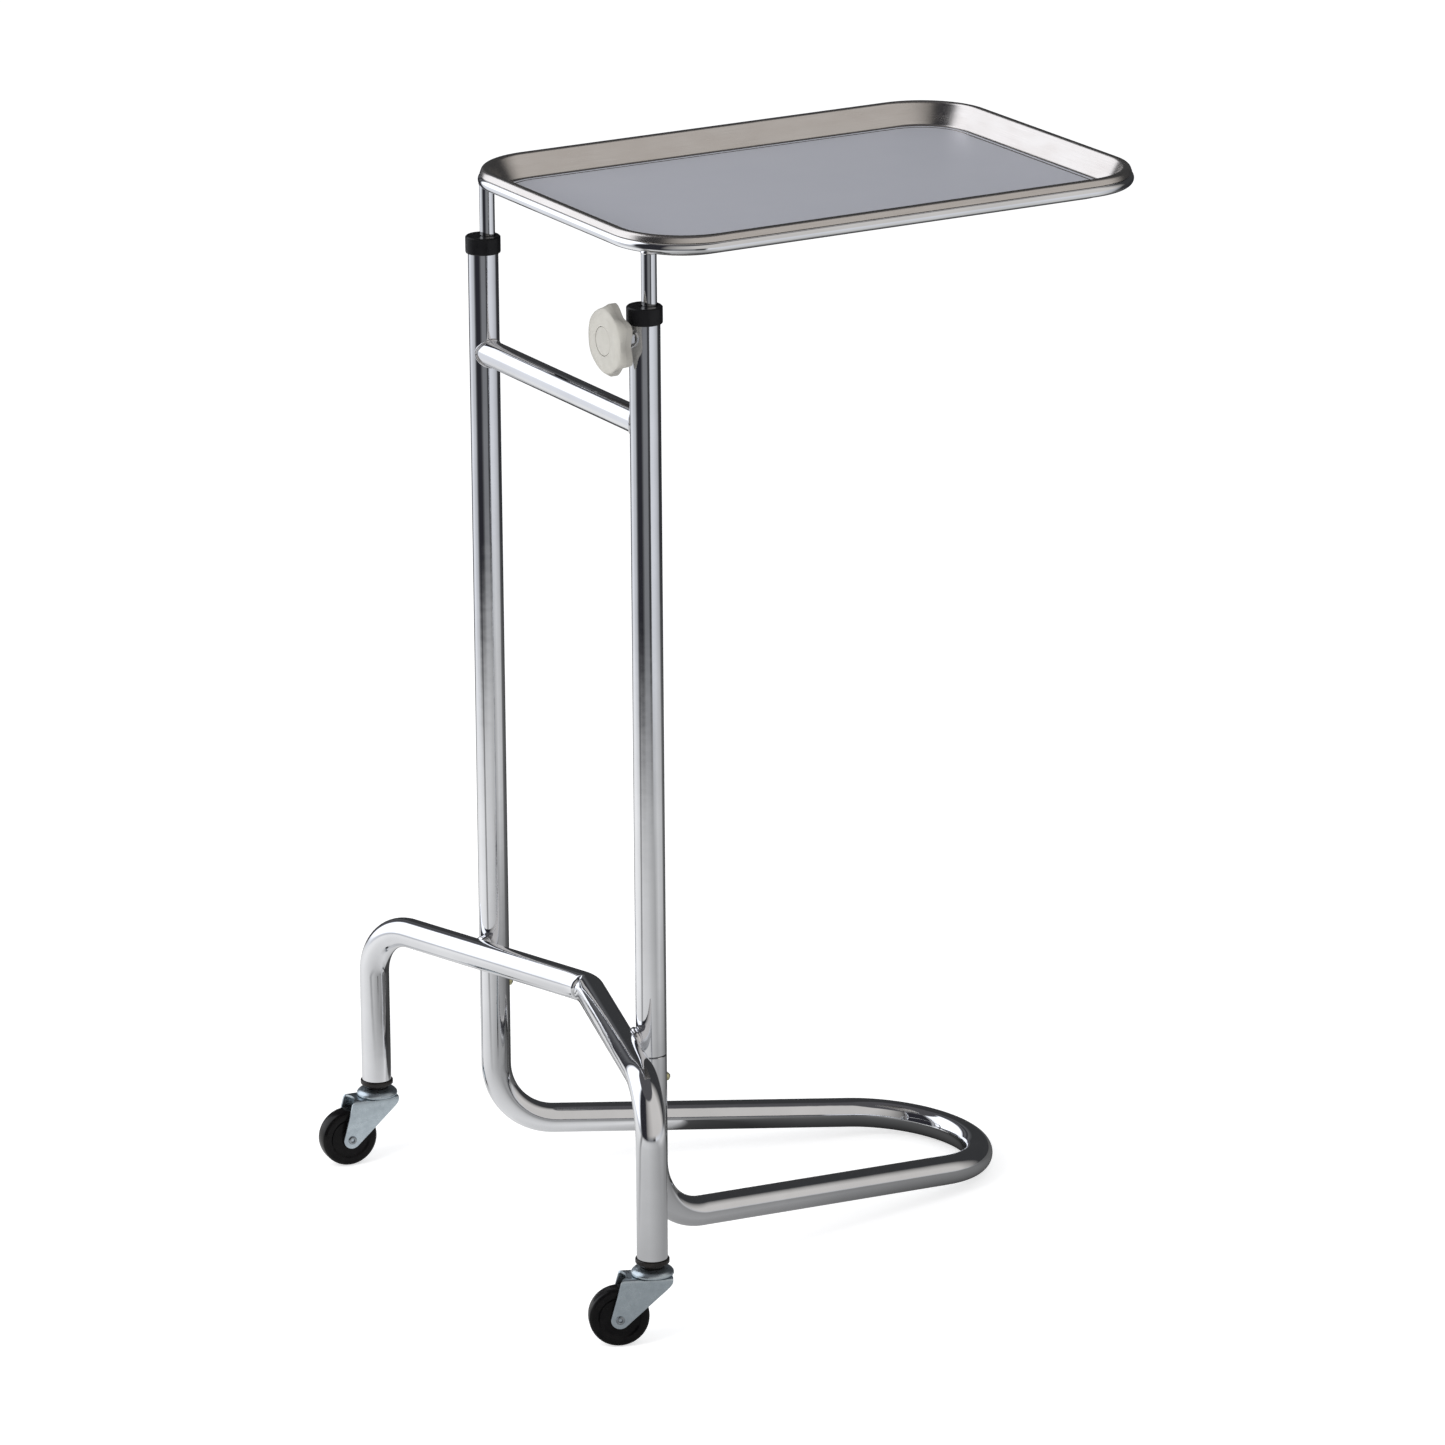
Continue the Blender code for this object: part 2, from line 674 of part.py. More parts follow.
def make_caster(side, y, cart):
    leg_x = arm_x(LEG_Y)
    swivel = empty("swivel_axis_" + side, cart, (leg_x, y, 0.0), TRAIL_ANGLE[side])
    axle = empty("axle_axis_" + side, swivel, (CASTER_TRAIL, 0.0, WHEEL_R))
    across = (0.0, 1.0, 0.0)

    name = "caster_fork_" + side
    fork = place(name, fork_mesh(name), "zinc", swivel)
    inner = FORK_WIDTH / 2.0 - FORK_SHEET
    low = (FORK_BACK - 0.01, -inner, -0.01)
    high = (CASTER_TRAIL + 0.02, inner, FORK_TOP_Z - FORK_SHEET)
    cut(fork, box_mesh(name + "_inside", low, high), name + "_inside")
    king = rod_cutter(name + "_king_hole", STEM_R + GAP, (0, 0, 0.045), (0, 0, 0.065), 24)
    cut(fork, king, name + "_king_hole")
    start = (CASTER_TRAIL, -0.02, WHEEL_R)
    end = (CASTER_TRAIL, 0.02, WHEEL_R)
    cut(fork, rod_cutter(name + "_axle_hole", AXLE_R + GAP, start, end), name + "_axle_hole")
    hollow_r = 0.0150
    hollow_x = FORK_FRONT + math.sqrt(hollow_r ** 2 - inner ** 2)
    low = (hollow_x, 0.0, FORK_TOP_Z - 0.004)
    high = (hollow_x, 0.0, FORK_TOP_Z + 0.004)
    cut(fork, rod_cutter(name + "_front_hollow", hollow_r, low, high, 40), name + "_front_hollow")

    ring_low = FORK_TOP_Z + GAP
    race = [(0.0118 + 0.0014 * math.cos(a), ring_low + 0.0014 + 0.0014 * math.sin(a))
            for a in (math.pi * k / 4.0 for k in range(8))]
    mesh = turned_mesh("ball_ring_" + side, race, 20, joined=True)
    place("ball_ring_" + side, mesh, "zinc", swivel)

    outer = FORK_WIDTH / 2.0 + GAP
    rivet = (
        (0.0022, -outer - AXLE_HEAD_LENGTH),
        (AXLE_HEAD_R, -outer - 0.5 * AXLE_HEAD_LENGTH),
        (AXLE_HEAD_R, -outer),
        (AXLE_R, -outer),
        (AXLE_R, outer),
        (AXLE_HEAD_R, outer),
        (AXLE_HEAD_R, outer + 0.5 * AXLE_HEAD_LENGTH),
        (0.0022, outer + AXLE_HEAD_LENGTH),
    )
    mesh = onto_axis(turned_mesh("axle_rivet_" + side, rivet, 16), across)
    place("axle_rivet_" + side, mesh, "zinc", swivel, (CASTER_TRAIL, 0.0, WHEEL_R))

    half = BUSHING_LENGTH / 2.0
    bushing = (
        (BUSHING_R, -half),
        (BUSHING_R, half),
        (BUSHING_BORE_R, half),
        (BUSHING_BORE_R, -half),
    )
    mesh = onto_axis(turned_mesh("wheel_bushing_" + side, bushing, 16, joined=True), across)
    place("wheel_bushing_" + side, mesh, "zinc", axle)
    mesh = onto_axis(turned_mesh("wheel_" + side, wheel_profile(), 32, joined=True), across)
    place("wheel_" + side, mesh, "black_rubber", axle)


def main():
    clear_scene()
    cart = empty("cart", None, ORIGIN)
    make_posts(cart)
    make_crossbar(cart)
    make_caster_bar(cart)
    make_base_loop(cart)
    make_sleeves(cart)
    make_base_screws(cart)
    make_post_caps(cart)
    make_clamp_nut(cart)
    make_caster_mounts(cart)

    lift = empty("height_slide", cart, (0.0, 0.0, 0.0))
    make_support(lift)
    make_tray(empty("tray_lift", lift, (0.0, 0.0, 0.0)))

    screw = empty("clamp_axis", cart, (0.0, -POST_Y, CLAMP_Z))
    make_clamp(screw, empty("knob_axis", screw, (0.0, 0.0, 0.0)))

    make_caster("left", LEG_Y, cart)
    make_caster("right", -LEG_Y, cart)
    bpy.context.view_layer.update()


main()
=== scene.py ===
"""Looks of the instrument stand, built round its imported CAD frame.

Shapes are modelled in metres from the middle of the two post axes at floor level (+X to the
free end of the tray, +Y to the left-hand post) and then moved to where the frame has its posts.
"""
from math import asin, atan, atan2, cos, exp, log1p, pi, radians, sin, sqrt, tan

import bmesh
import bpy
from mathutils import Matrix, Vector


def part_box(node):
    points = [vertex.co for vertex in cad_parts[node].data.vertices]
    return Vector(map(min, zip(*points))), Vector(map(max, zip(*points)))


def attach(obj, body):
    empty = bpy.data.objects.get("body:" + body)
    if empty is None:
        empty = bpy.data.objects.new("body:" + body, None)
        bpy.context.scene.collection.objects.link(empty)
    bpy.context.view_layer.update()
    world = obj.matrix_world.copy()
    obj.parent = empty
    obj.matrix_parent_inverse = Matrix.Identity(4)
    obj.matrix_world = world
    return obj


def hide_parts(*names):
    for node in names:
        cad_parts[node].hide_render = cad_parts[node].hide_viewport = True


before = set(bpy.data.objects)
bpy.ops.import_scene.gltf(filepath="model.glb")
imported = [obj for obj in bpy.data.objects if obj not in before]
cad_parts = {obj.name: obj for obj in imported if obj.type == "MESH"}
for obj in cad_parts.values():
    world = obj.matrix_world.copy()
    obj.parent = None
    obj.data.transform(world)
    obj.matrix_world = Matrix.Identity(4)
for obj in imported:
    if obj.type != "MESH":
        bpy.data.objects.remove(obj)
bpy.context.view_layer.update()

# Post axes, from the frame
left_low, left_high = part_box("post_left")
right_low, right_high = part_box("post_right")
LEFT_AXIS = (left_low + left_high) / 2.0
RIGHT_AXIS = (right_low + right_high) / 2.0
ORIGIN = Vector((LEFT_AXIS.x, (LEFT_AXIS.y + RIGHT_AXIS.y) / 2.0, 0.0))
POST_Y = (LEFT_AXIS.y - RIGHT_AXIS.y) / 2.0
SIDES = (("left", 1.0), ("right", -1.0))

# Tubes
TUBE_R = 0.0127
BORE_R = 0.01105
POST_BOTTOM_Z = left_low.z
POST_TOP_Z = left_high.z
CROSSBAR_R = 0.0111
CROSSBAR_WALL = 0.0015
CROSSBAR_Z = 0.7430
TUBE_STEPS = 64

# Caster bar
ARM_ANGLE = radians(17.6)
BAR_Z = 0.2178
LEG_Y = 0.2434
LEG_BOTTOM_Z = 0.0740
LEG_BEND_R = 0.046
APEX_BEND_R = 0.026
APEX_PINCH = 0.0029
PINCH_WIDTH = 0.0022
APEX_SWELL = 0.0011
SWELL_AWAY = 0.0064
SWELL_WIDTH = 0.0036
BAR_OFFSET = 2.0 * TUBE_R + 0.0003
BAR_WELD_HALF_WIDTH = 0.0076
BAR_WELD_HALF_HEIGHT = 0.0088

# Base loop
BASE_SLOPE = -0.1209
BASE_CONVERGE = 0.1712
BASE_HEEL_R = 0.058
BASE_NOSE_R = 0.083
BASE_TOP_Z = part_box("base_loop")[1].z
SCREW_Z = 0.1828
SCREW_SHANK_R = 0.0024
SCREW_HEAD_R = 0.0037
SCREW_HEAD_H = 0.0044
RECESS_LENGTH = 0.0042
RECESS_WIDTH = 0.0008
RECESS_DEPTH = 0.0030

# Support and tray
ROD_R = 0.00635
ROD_X = 0.0044
ROD_BOTTOM_Z = 0.4260
RING_R = 0.00476
RING_Z = 0.8897
RING_OUTSET = 0.0030
RIDGE_X = (-0.0040, 0.4650)
RIDGE_Y = 0.1635
RIDGE_Z = 0.9000
RIDGE_CORNER_R = 0.058
TRAY_SHEET = 0.0009
TRAY_DEPTH = 0.0195

# Caps and clamp
CAP_TOP_Z = 0.8415
CAP_R = 0.01475
CAP_BOTTOM_Z = 0.8272
CAP_ROOF = 0.0030
CLAMP_Z = 0.8170
NUT_FACE_X = 0.0204
NUT_FLAT_R = 0.0065
NUT_CORNER_R = 0.0073
NUT_BORE_R = 0.0042
CLAMP_WELD_R = 0.0071
STUD_ROOT_R = 0.0033
STUD_CREST_R = 0.0039
STUD_END_X = 0.0334
THREAD_END_X = 0.0310
THREAD_PITCH = 0.00125
KNOB_FACE_X = 0.0388
KNOB_BACK_X = 0.0245
KNOB_HUB_X = 0.0212
KNOB_BORE_R = 0.0042
KNOB_R = 0.0300
KNOB_LOBES = 6
KNOB_DIP = 0.0064
KNOB_CAP_R = 0.0117
# Painted shade on the knob's sides: where along X it begins and where it is full
SIDE_SHADE_START_X = 0.0382
SIDE_SHADE_FULL_X = 0.0335

# Casters
TRAIL_ANGLE = {"left": radians(173.0), "right": radians(157.0)}
CASTER_TRAIL = 0.0280
WHEEL_R = 0.0250
WHEEL_WIDTH = 0.0170
FORK_WIDTH = 0.0250
FORK_SHEET = 0.0020
FORK_TOP_Z = 0.0597
FORK_BACK = -0.0158
FORK_FRONT = 0.0262
FORK_HOLLOW = 0.0046
FORK_HEEL_DROP = 0.0055
FORK_HEEL_SOFT = 0.0013
FORK_TOE_R = 0.0076
FORK_TOE_LEAN = 0.06
FORK_BEND_R = 0.0018

# Edges that turn by more than this stay sharp
SHARP_ABOVE = radians(38.0)


# Node graphs

class Graph:
    """A small helper that adds nodes to a material or world and links what is given a socket."""

    def __init__(self, owner):
        self.tree = owner.node_tree

    def add(self, kind, inputs=None, **settings):
        node = self.tree.nodes.new(kind)
        for key, value in settings.items():
            setattr(node, key, value)
        for key, value in (inputs or {}).items():
            if isinstance(value, bpy.types.NodeSocket):
                self.tree.links.new(value, node.inputs[key])
            else:
                node.inputs[key].default_value = value
        return node

    def math(self, operation, a, b=0.0):
        return self.add("ShaderNodeMath", {0: a, 1: b}, operation=operation).outputs[0]

    def stretched(self, source, scale):
        node = self.add("ShaderNodeMapping", {"Vector": source, "Scale": scale})
        return node.outputs["Vector"]

    def noise(self, vector, scale, detail=3.0, rough=0.5):
        inputs = {"Vector": vector, "Scale": scale, "Detail": detail, "Roughness": rough}
        return self.add("ShaderNodeTexNoise", inputs).outputs["Fac"]

    def ramp(self, factor, stops):
        node = self.add("ShaderNodeValToRGB", {"Fac": factor})
        elements = node.color_ramp.elements
        while len(elements) < len(stops):
            elements.new(0.5)
        for element, (place, colour) in zip(elements, stops):
            element.position = place
            if isinstance(colour, (int, float)):
                colour = (colour, colour, colour)
            element.color = (*colour, 1.0)
        return node.outputs["Color"]

    def span(self, value, low, high):
        """Maps 0..1 noise, mostly 0.3..0.7, onto low..high."""
        inputs = {"Value": value, "From Min": 0.3, "From Max": 0.7, "To Min": low, "To Max": high}
        return self.add("ShaderNodeMapRange", inputs).outputs["Result"]

    def share(self, value, start, end, **settings):
        """Runs from 0 to 1 while value runs from start to end."""
        inputs = {"Value": value, "From Min": start, "From Max": end}
        return self.add("ShaderNodeMapRange", inputs, **settings).outputs["Result"]

    def azimuth(self, x, y):
        """The direction of (x, y) round Z, from -180..180 degrees onto 0..1."""
        turn = self.math('DIVIDE', self.math('ARCTAN2', y, x), 2.0 * pi)
        return self.math('ADD', turn, 0.5)

    def mix(self, factor, a, b):
        node = self.add("ShaderNodeMix", data_type='RGBA')
        for key, value in ((0, factor), (6, a), (7, b)):
            if isinstance(value, bpy.types.NodeSocket):
                self.tree.links.new(value, node.inputs[key])
            elif isinstance(value, tuple):
                node.inputs[key].default_value = (*value, 1.0)
            else:
                node.inputs[key].default_value = value
        return node.outputs[2]

    def bump(self, height, strength, distance, below=None):
        inputs = {"Height": height, "Strength": strength, "Distance": distance}
        if below is not None:
            inputs["Normal"] = below
        return self.add("ShaderNodeBump", inputs).outputs["Normal"]


def degrees(stops):
    """Azimuth stops from -180..180 degrees to a ramp's 0..1."""
    return tuple(((a + 180.0) / 360.0, v) for a, v in stops)


def begin(name, metallic=0.0, gloss=0.5):
    """A new material with its graph, its shader, object coordinates and UV."""
    material = bpy.data.materials.new(name)
    material.use_nodes = True
    graph = Graph(material)
    shader = material.node_tree.nodes["Principled BSDF"]
    shader.inputs["Metallic"].default_value = metallic
    shader.inputs["Specular IOR Level"].default_value = gloss
    coords = graph.add("ShaderNodeTexCoord")
    return material, graph, shader, coords.outputs["Object"], coords.outputs["UV"]


def wire(graph, shader, colour, roughness, normal):
    """Joins what a material has made to its shader."""
    graph.tree.links.new(colour, shader.inputs["Base Color"])
    graph.tree.links.new(roughness, shader.inputs["Roughness"])
    graph.tree.links.new(normal, shader.inputs["Normal"])


def chrome_material(name, tone=(0.86, 0.87, 0.895), haze=1.0):
    """Polished chrome plate: faint drawing lines along the tube, wipe marks and small pits."""
    material, graph, shader, place, uv = begin(name, metallic=1.0)
    lines = graph.noise(graph.stretched(uv, (1500.0, 9.0, 1.0)), 1.0, 4.0, 0.6)
    film = graph.noise(place, 16.0, 5.0, 0.55)
    wipes = graph.noise(graph.stretched(place, (60.0, 60.0, 14.0)), 1.0, 4.0, 0.6)
    pits = graph.noise(place, 1300.0, 1.0)
    dull = tuple(0.90 * c for c in tone)
    colour = graph.mix(graph.span(film, 0.0, 1.0), tone, dull)
    film_rough = graph.span(wipes, 0.012, 0.060 * haze)
    rough = graph.math('ADD', film_rough, graph.span(lines, 0.0, 0.022))
    rough = graph.math('MAXIMUM', rough, 0.012)
    peel = graph.bump(graph.noise(place, 48.0, 2.0), 0.10, 0.0010)
    drawn = graph.bump(lines, 0.05, 0.0002, peel)
    wire(graph, shader, colour, rough, graph.bump(pits, 0.02, 0.0002, drawn))
    return material


def tray_wall_material(name):
    """Satin stainless sheet with its grain running along the rim."""
    material, graph, shader, place, uv = begin(name, metallic=1.0)
    grain = graph.noise(graph.stretched(uv, (14.0, 2600.0, 1.0)), 1.0, 5.0, 0.65)
    blotch = graph.noise(graph.stretched(place, (26.0, 26.0, 90.0)), 1.0, 4.0, 0.6)
    light = graph.mix(graph.span(grain, 0.0, 1.0), (0.69, 0.665, 0.645), (0.60, 0.575, 0.555))
    colour = graph.mix(graph.span(blotch, 0.0, 0.55), light, (0.585, 0.545, 0.515))
    rough = graph.math('ADD', graph.span(blotch, 0.15, 0.23), graph.span(grain, 0.0, 0.07))
    normal = graph.bump(grain, 0.12, 0.0003, graph.bump(blotch, 0.10, 0.0008))
    wire(graph, shader, colour, rough, normal)
    return material


def tray_floor_material(name):
    """The same sheet where it lies flat: a finer, more even finish with a few long scratches. Its
    pale bluish colour, with the part-diffuse finish, is partly painted reflection of the bright
    surroundings.
    """
    material, graph, shader, place, uv = begin(name, metallic=0.45)
    grain = graph.noise(graph.stretched(place, (22.0, 2400.0, 1.0)), 1.0, 4.0, 0.6)
    cloud = graph.noise(place, 7.0, 4.0, 0.5)
    slanted = graph.add("ShaderNodeMapping", {
        "Vector": place, "Rotation": (0.0, 0.0, 0.5), "Scale": (9.0, 700.0, 1.0)})
    scratch = graph.noise(slanted.outputs["Vector"], 1.0, 2.0, 0.4)
    marks = graph.ramp(scratch, ((0.0, 0.0), (0.70, 0.0), (0.78, 1.0)))
    # Painted reflection: the pale bluish colour stands in for the bright surroundings the flat
    # floor reflects; the cloud varies it at random
    even = graph.mix(graph.span(cloud, 0.0, 1.0), (0.780, 0.795, 0.865), (0.740, 0.755, 0.825))
    colour = graph.mix(graph.math('MULTIPLY', marks, 0.25), even, (0.76, 0.77, 0.79))
    rough = graph.math('ADD', graph.span(cloud, 0.42, 0.48), graph.span(grain, 0.0, 0.06))
    normal = graph.bump(grain, 0.10, 0.0002, graph.bump(marks, 0.03, 0.0002))
    wire(graph, shader, colour, rough, normal)
    return material


def zinc_material(name, tone=(0.55, 0.625, 0.675), dark=(0.43, 0.495, 0.545),
                  rough=(0.20, 0.34)):
    """Bright zinc plate on pressed steel: cloudy, with fine spangle and rub marks."""
    material, graph, shader, place, uv = begin(name, metallic=1.0)
    cloud = graph.noise(place, 190.0, 5.0, 0.6)
    cells = graph.add("ShaderNodeTexVoronoi", {"Vector": place, "Scale": 700.0})
    rubs = graph.noise(graph.stretched(place, (150.0, 150.0, 900.0)), 1.0, 3.0, 0.6)
    colour = graph.mix(graph.span(cloud, 0.0, 1.0), tone, dark)
    bright = tuple(min(1.0, 1.15 * c) for c in tone)
    colour = graph.mix(graph.math('MULTIPLY', cells.outputs["Distance"], 0.35), colour, bright)
    level = graph.math('ADD', graph.span(cloud, *rough), graph.span(rubs, 0.0, 0.08))
    normal = graph.bump(rubs, 0.10, 0.0002, graph.bump(cloud, 0.12, 0.0004))
    wire(graph, shader, colour, level, normal)
    return material


def plastic_material(name, tone, dark, rough, grain=1100.0, relief=0.10, gloss=0.5,
                     painted_side_shade=None):
    """Moulded plastic with a fine spark texture.

    The optional last argument paints shade on the sides: where along X it begins, where it is full,
    and the shaded colour.
    """
    material, graph, shader, place, uv = begin(name, gloss=gloss)
    texture = graph.noise(place, grain, 2.0, 0.6)
    patch = graph.noise(place, 110.0, 4.0, 0.55)
    colour = graph.mix(graph.span(patch, 0.0, 1.0), tone, dark)
    # Painted shade: the sides darken from just behind the face towards the back
    if painted_side_shade:
        unmarked, shade_full_x, tint = painted_side_shade
        depth = graph.add("ShaderNodeSeparateXYZ", {"Vector": place}).outputs["X"]
        colour = graph.mix(graph.share(depth, unmarked, shade_full_x), colour, tint)
    level = graph.math('ADD', graph.span(patch, *rough), graph.span(texture, 0.0, 0.05))
    normal = graph.bump(texture, relief, 0.0002, graph.bump(patch, 0.05, 0.0005))
    wire(graph, shader, colour, level, normal)
    return material


def wheel_material(name):
    """Hard black wheel with fine lines round it, a little dust and a few pale specks."""
    material, graph, shader, place, uv = begin(name, gloss=0.13)
    lines = graph.noise(graph.stretched(uv, (25.0, 2500.0, 1.0)), 1.0, 3.0, 0.6)
    dust = graph.noise(place, 150.0, 6.0, 0.65)
    specks = graph.noise(place, 900.0, 2.0)
    specks = graph.ramp(specks, ((0.0, 0.0), (0.62, 0.0), (0.70, 1.0)))
    unmarked, dusty = (0.0022, 0.0021, 0.0024), (0.0056, 0.0053, 0.0054)
    colour = graph.mix(graph.span(dust, 0.0, 1.0), unmarked, dusty)
    colour = graph.mix(graph.math('MULTIPLY', specks, 0.03), colour, (0.12, 0.11, 0.11))
    level = graph.math('ADD', graph.span(dust, 0.14, 0.26), graph.span(lines, 0.0, 0.06))
    normal = graph.bump(lines, 0.05, 0.0002, graph.bump(dust, 0.03, 0.0004))
    wire(graph, shader, colour, level, normal)
    return material


# Mesh tools

def angles(steps):
    return [2.0 * pi * i / steps for i in range(steps)]


def circle(radius, z, turns):
    return [Vector((radius * cos(a), radius * sin(a), z)) for a in turns]


def add_object(name, data):
    item = bpy.data.objects.new(name, data)
    bpy.context.scene.collection.objects.link(item)
    return item


def to_mesh(bm, name):
    mesh = bpy.data.meshes.new(name)
    bm.to_mesh(mesh)
    bm.free()
    return mesh


def keep_result(item):
    """Replaces an object's mesh by what its modifiers make of it."""
    graph = bpy.context.evaluated_depsgraph_get()
    made = bpy.data.meshes.new_from_object(item.evaluated_get(graph))
    item.modifiers.clear()
    item.data = made


def smooth(mesh):
    mesh.shade_smooth()
    mesh.set_sharp_from_angle(angle=SHARP_ABOVE)
    return mesh


def uv_skin(name, rings, joined=False, capped=True):
    """Skins closed rings of equal length.  UV is in metres: round the ring, then along the skin."""
    bm = bmesh.new()
    layer = bm.loops.layers.uv.new("UVMap")
    rows = [[bm.verts.new(point) for point in ring] for ring in rings]
    count = len(rows[0])
    widest = max(rings, key=lambda ring: (Vector(ring[1]) - Vector(ring[0])).length)
    around = [0.0]
    for i in range(count):
        around.append(around[-1] + (Vector(widest[(i + 1) % count]) - Vector(widest[i])).length)
    along = [0.0]
    for lower, upper in zip(rings, rings[1:] + rings[:1]):
        along.append(along[-1] + (Vector(upper[0]) - Vector(lower[0])).length)
    last = len(rows) if joined else len(rows) - 1
    for k in range(last):
        lower, upper = rows[k], rows[(k + 1) % len(rows)]
        for i in range(count):
            j = (i + 1) % count
            face = bm.faces.new((lower[i], lower[j], upper[j], upper[i]))
            spots = ((i, k), (i + 1, k), (i + 1, k + 1), (i, k + 1))
            for loop, (a, b) in zip(face.loops, spots):
                loop[layer].uv = (around[a], along[b])
    if capped and not joined:
        for row in (rows[0], rows[-1]):
            face = bm.faces.new(row)
            for loop in face.loops:
                loop[layer].uv = (loop.vert.co.x, loop.vert.co.y)
    bmesh.ops.recalc_face_normals(bm, faces=bm.faces)
    return smooth(to_mesh(bm, name))


def rounded(points, radius, steps=5, closed=False):
    """Rounds the corners of a 2D outline.  A point may carry its own radius as a third value."""
    plain = [(Vector(p[:2]), p[2] if len(p) > 2 else radius) for p in points]
    count = len(plain)
    done = []
    for i, (corner, r) in enumerate(plain):
        if not closed and i in (0, count - 1):
            done.append(corner)
            continue
        before = plain[i - 1][0] - corner
        after = plain[(i + 1) % count][0] - corner
        inward, outward = before.normalized(), after.normalized()
        turn = pi - inward.angle(outward)
        if r <= 0.0 or turn < radians(2.0):
            done.append(corner)
            continue
        reach = min(r * tan(turn / 2.0), 0.48 * before.length, 0.48 * after.length)
        r = reach / tan(turn / 2.0)
        centre = corner + (inward + outward).normalized() * (r / cos(turn / 2.0))
        arm = corner + inward * reach - centre
        for k in range(steps + 1):
            a = turn * k / steps
            done.append(centre + arm * cos(a) - inward * (r * sin(a)))
    return done


def turned(name, outline, steps=64, radius=0.0004, joined=False, corner_steps=4):
    """Turns an outline of (radius, height) about Z."""
    profile = rounded(outline, radius, corner_steps, closed=joined)
    turns = angles(steps)
    return uv_skin(name, [circle(r, z, turns) for r, z in profile], joined)


def onto_axis(mesh, axis):
    """Swings a mesh that was turned about Z onto another axis."""
    swing = Vector((0.0, 0.0, 1.0)).rotation_difference(Vector(axis))
    mesh.transform(swing.to_matrix().to_4x4())
    return mesh


def filleted(corners, radii, step=radians(3.0), spacing=0.012):
    """Runs through corner points with an arc at each inner corner and even points between."""
    corners = [Vector(c) for c in corners]
    marks = [corners[0]]
    for before, corner, after, radius in zip(corners, corners[1:], corners[2:], radii):
        inward = (before - corner).normalized()
        outward = (after - corner).normalized()
        turn = pi - inward.angle(outward)
        reach = radius * tan(turn / 2.0)
        centre = corner + (inward + outward).normalized() * (radius / cos(turn / 2.0))
        arm = corner + inward * reach - centre
        steps = max(4, round(turn / step))
        for i in range(steps + 1):
            a = turn * i / steps
            marks.append(centre + arm * cos(a) - inward * (radius * sin(a)))
    marks.append(corners[-1])
    path = [marks[0]]
    for a, b in zip(marks, marks[1:]):
        pieces = max(1, round((b - a).length / spacing))
        path.extend(a.lerp(b, (k + 1) / pieces) for k in range(pieces))
    return path


def sweep(path, radius, steps, closed, start_side):
    """Rings of a round section along a path.  radius may be a number or one number per point."""
    count = len(path)
    side = Vector(start_side)
    rings = []
    for i, point in enumerate(path):
        if closed:
            way = path[(i + 1) % count] - path[i - 1]
        else:
            way = path[min(i + 1, count - 1)] - path[max(i - 1, 0)]
        way.normalize()
        side = (side - way * side.dot(way)).normalized()
        other = way.cross(side)
        r = radius[i] if isinstance(radius, list) else radius
        turns = angles(steps)
        rings.append([point + r * (side * cos(a) + other * sin(a)) for a in turns])
    return rings


def tube(name, path, radius, bore, start_side, edge=0.0005, shape=None):
    """An open tube with slightly broken edges at both ends.  shape may move the outer rings."""
    outer = sweep(path, radius, TUBE_STEPS, False, start_side)
    if shape:
        outer = [[shape(point, centre) for point in ring] for ring, centre in zip(outer, path)]
    inner = sweep(path, bore, TUBE_STEPS, False, start_side)
    for near, far, end, inward in ((0, 1, path[0], path[1]), (-1, -2, path[-1], path[-2])):
        way = (inward - end).normalized()
        kept = outer[near]
        tucked = [end + (p - end) * (1.0 - edge / radius) for p in kept]
        lowered = [p + way * edge for p in kept]
        if near == 0:
            outer[0:1] = [tucked, lowered]
        else:
            outer[-1:] = [lowered, tucked]
    return uv_skin(name, outer + inner[::-1], joined=True)


def bead(name, path, radii):
    """A closed weld bead of varying thickness."""
    oblique = (0.31, 0.17, 0.93)
    return uv_skin(name, sweep(path, radii, 14, True, oblique), joined=True)


def rounded_rectangle(outset, height, per_corner=20, per_side=12):
    """One ring round the tray, outset from its ridge line."""
    low_x, high_x = RIDGE_X
    r = RIDGE_CORNER_R
    centres = (
        (high_x - r, RIDGE_Y - r, 0.0),
        (low_x + r, RIDGE_Y - r, 0.5 * pi),
        (low_x + r, -RIDGE_Y + r, pi),
        (high_x - r, -RIDGE_Y + r, 1.5 * pi),
    )
    marks = []
    for x, y, start in centres:
        for i in range(per_corner + 1):
            a = start + 0.5 * pi * i / per_corner
            reach = r + outset
            marks.append(Vector((x + reach * cos(a), y + reach * sin(a), height)))
    ring = []
    for i, mark in enumerate(marks):
        after = marks[(i + 1) % len(marks)]
        ring.append(mark)
        if (i + 1) % (per_corner + 1) == 0:
            ring.extend(mark.lerp(after, k / per_side) for k in range(1, per_side))
    return ring


def piece(name, mesh, body, node, material, place=None, extra=False):
    """Puts a mesh, modelled about the post axes, into the frame on one of its bodies.

    It has the finish of a node of the frame, and takes that node's place unless it is extra.
    """
    replaces = () if extra else (node,)
    if place is not None:
        mesh.transform(place)
    mesh.transform(Matrix.Translation(ORIGIN))
    item = add_object(name, mesh)
    mesh.materials.append(material)
    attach(item, body)
    if replaces:
        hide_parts(*replaces)
    return item


def at(x=0.0, y=0.0, z=0.0):
    """A place measured from the middle of the post axes at floor level."""
    return Matrix.Translation((x, y, z))


# Materials

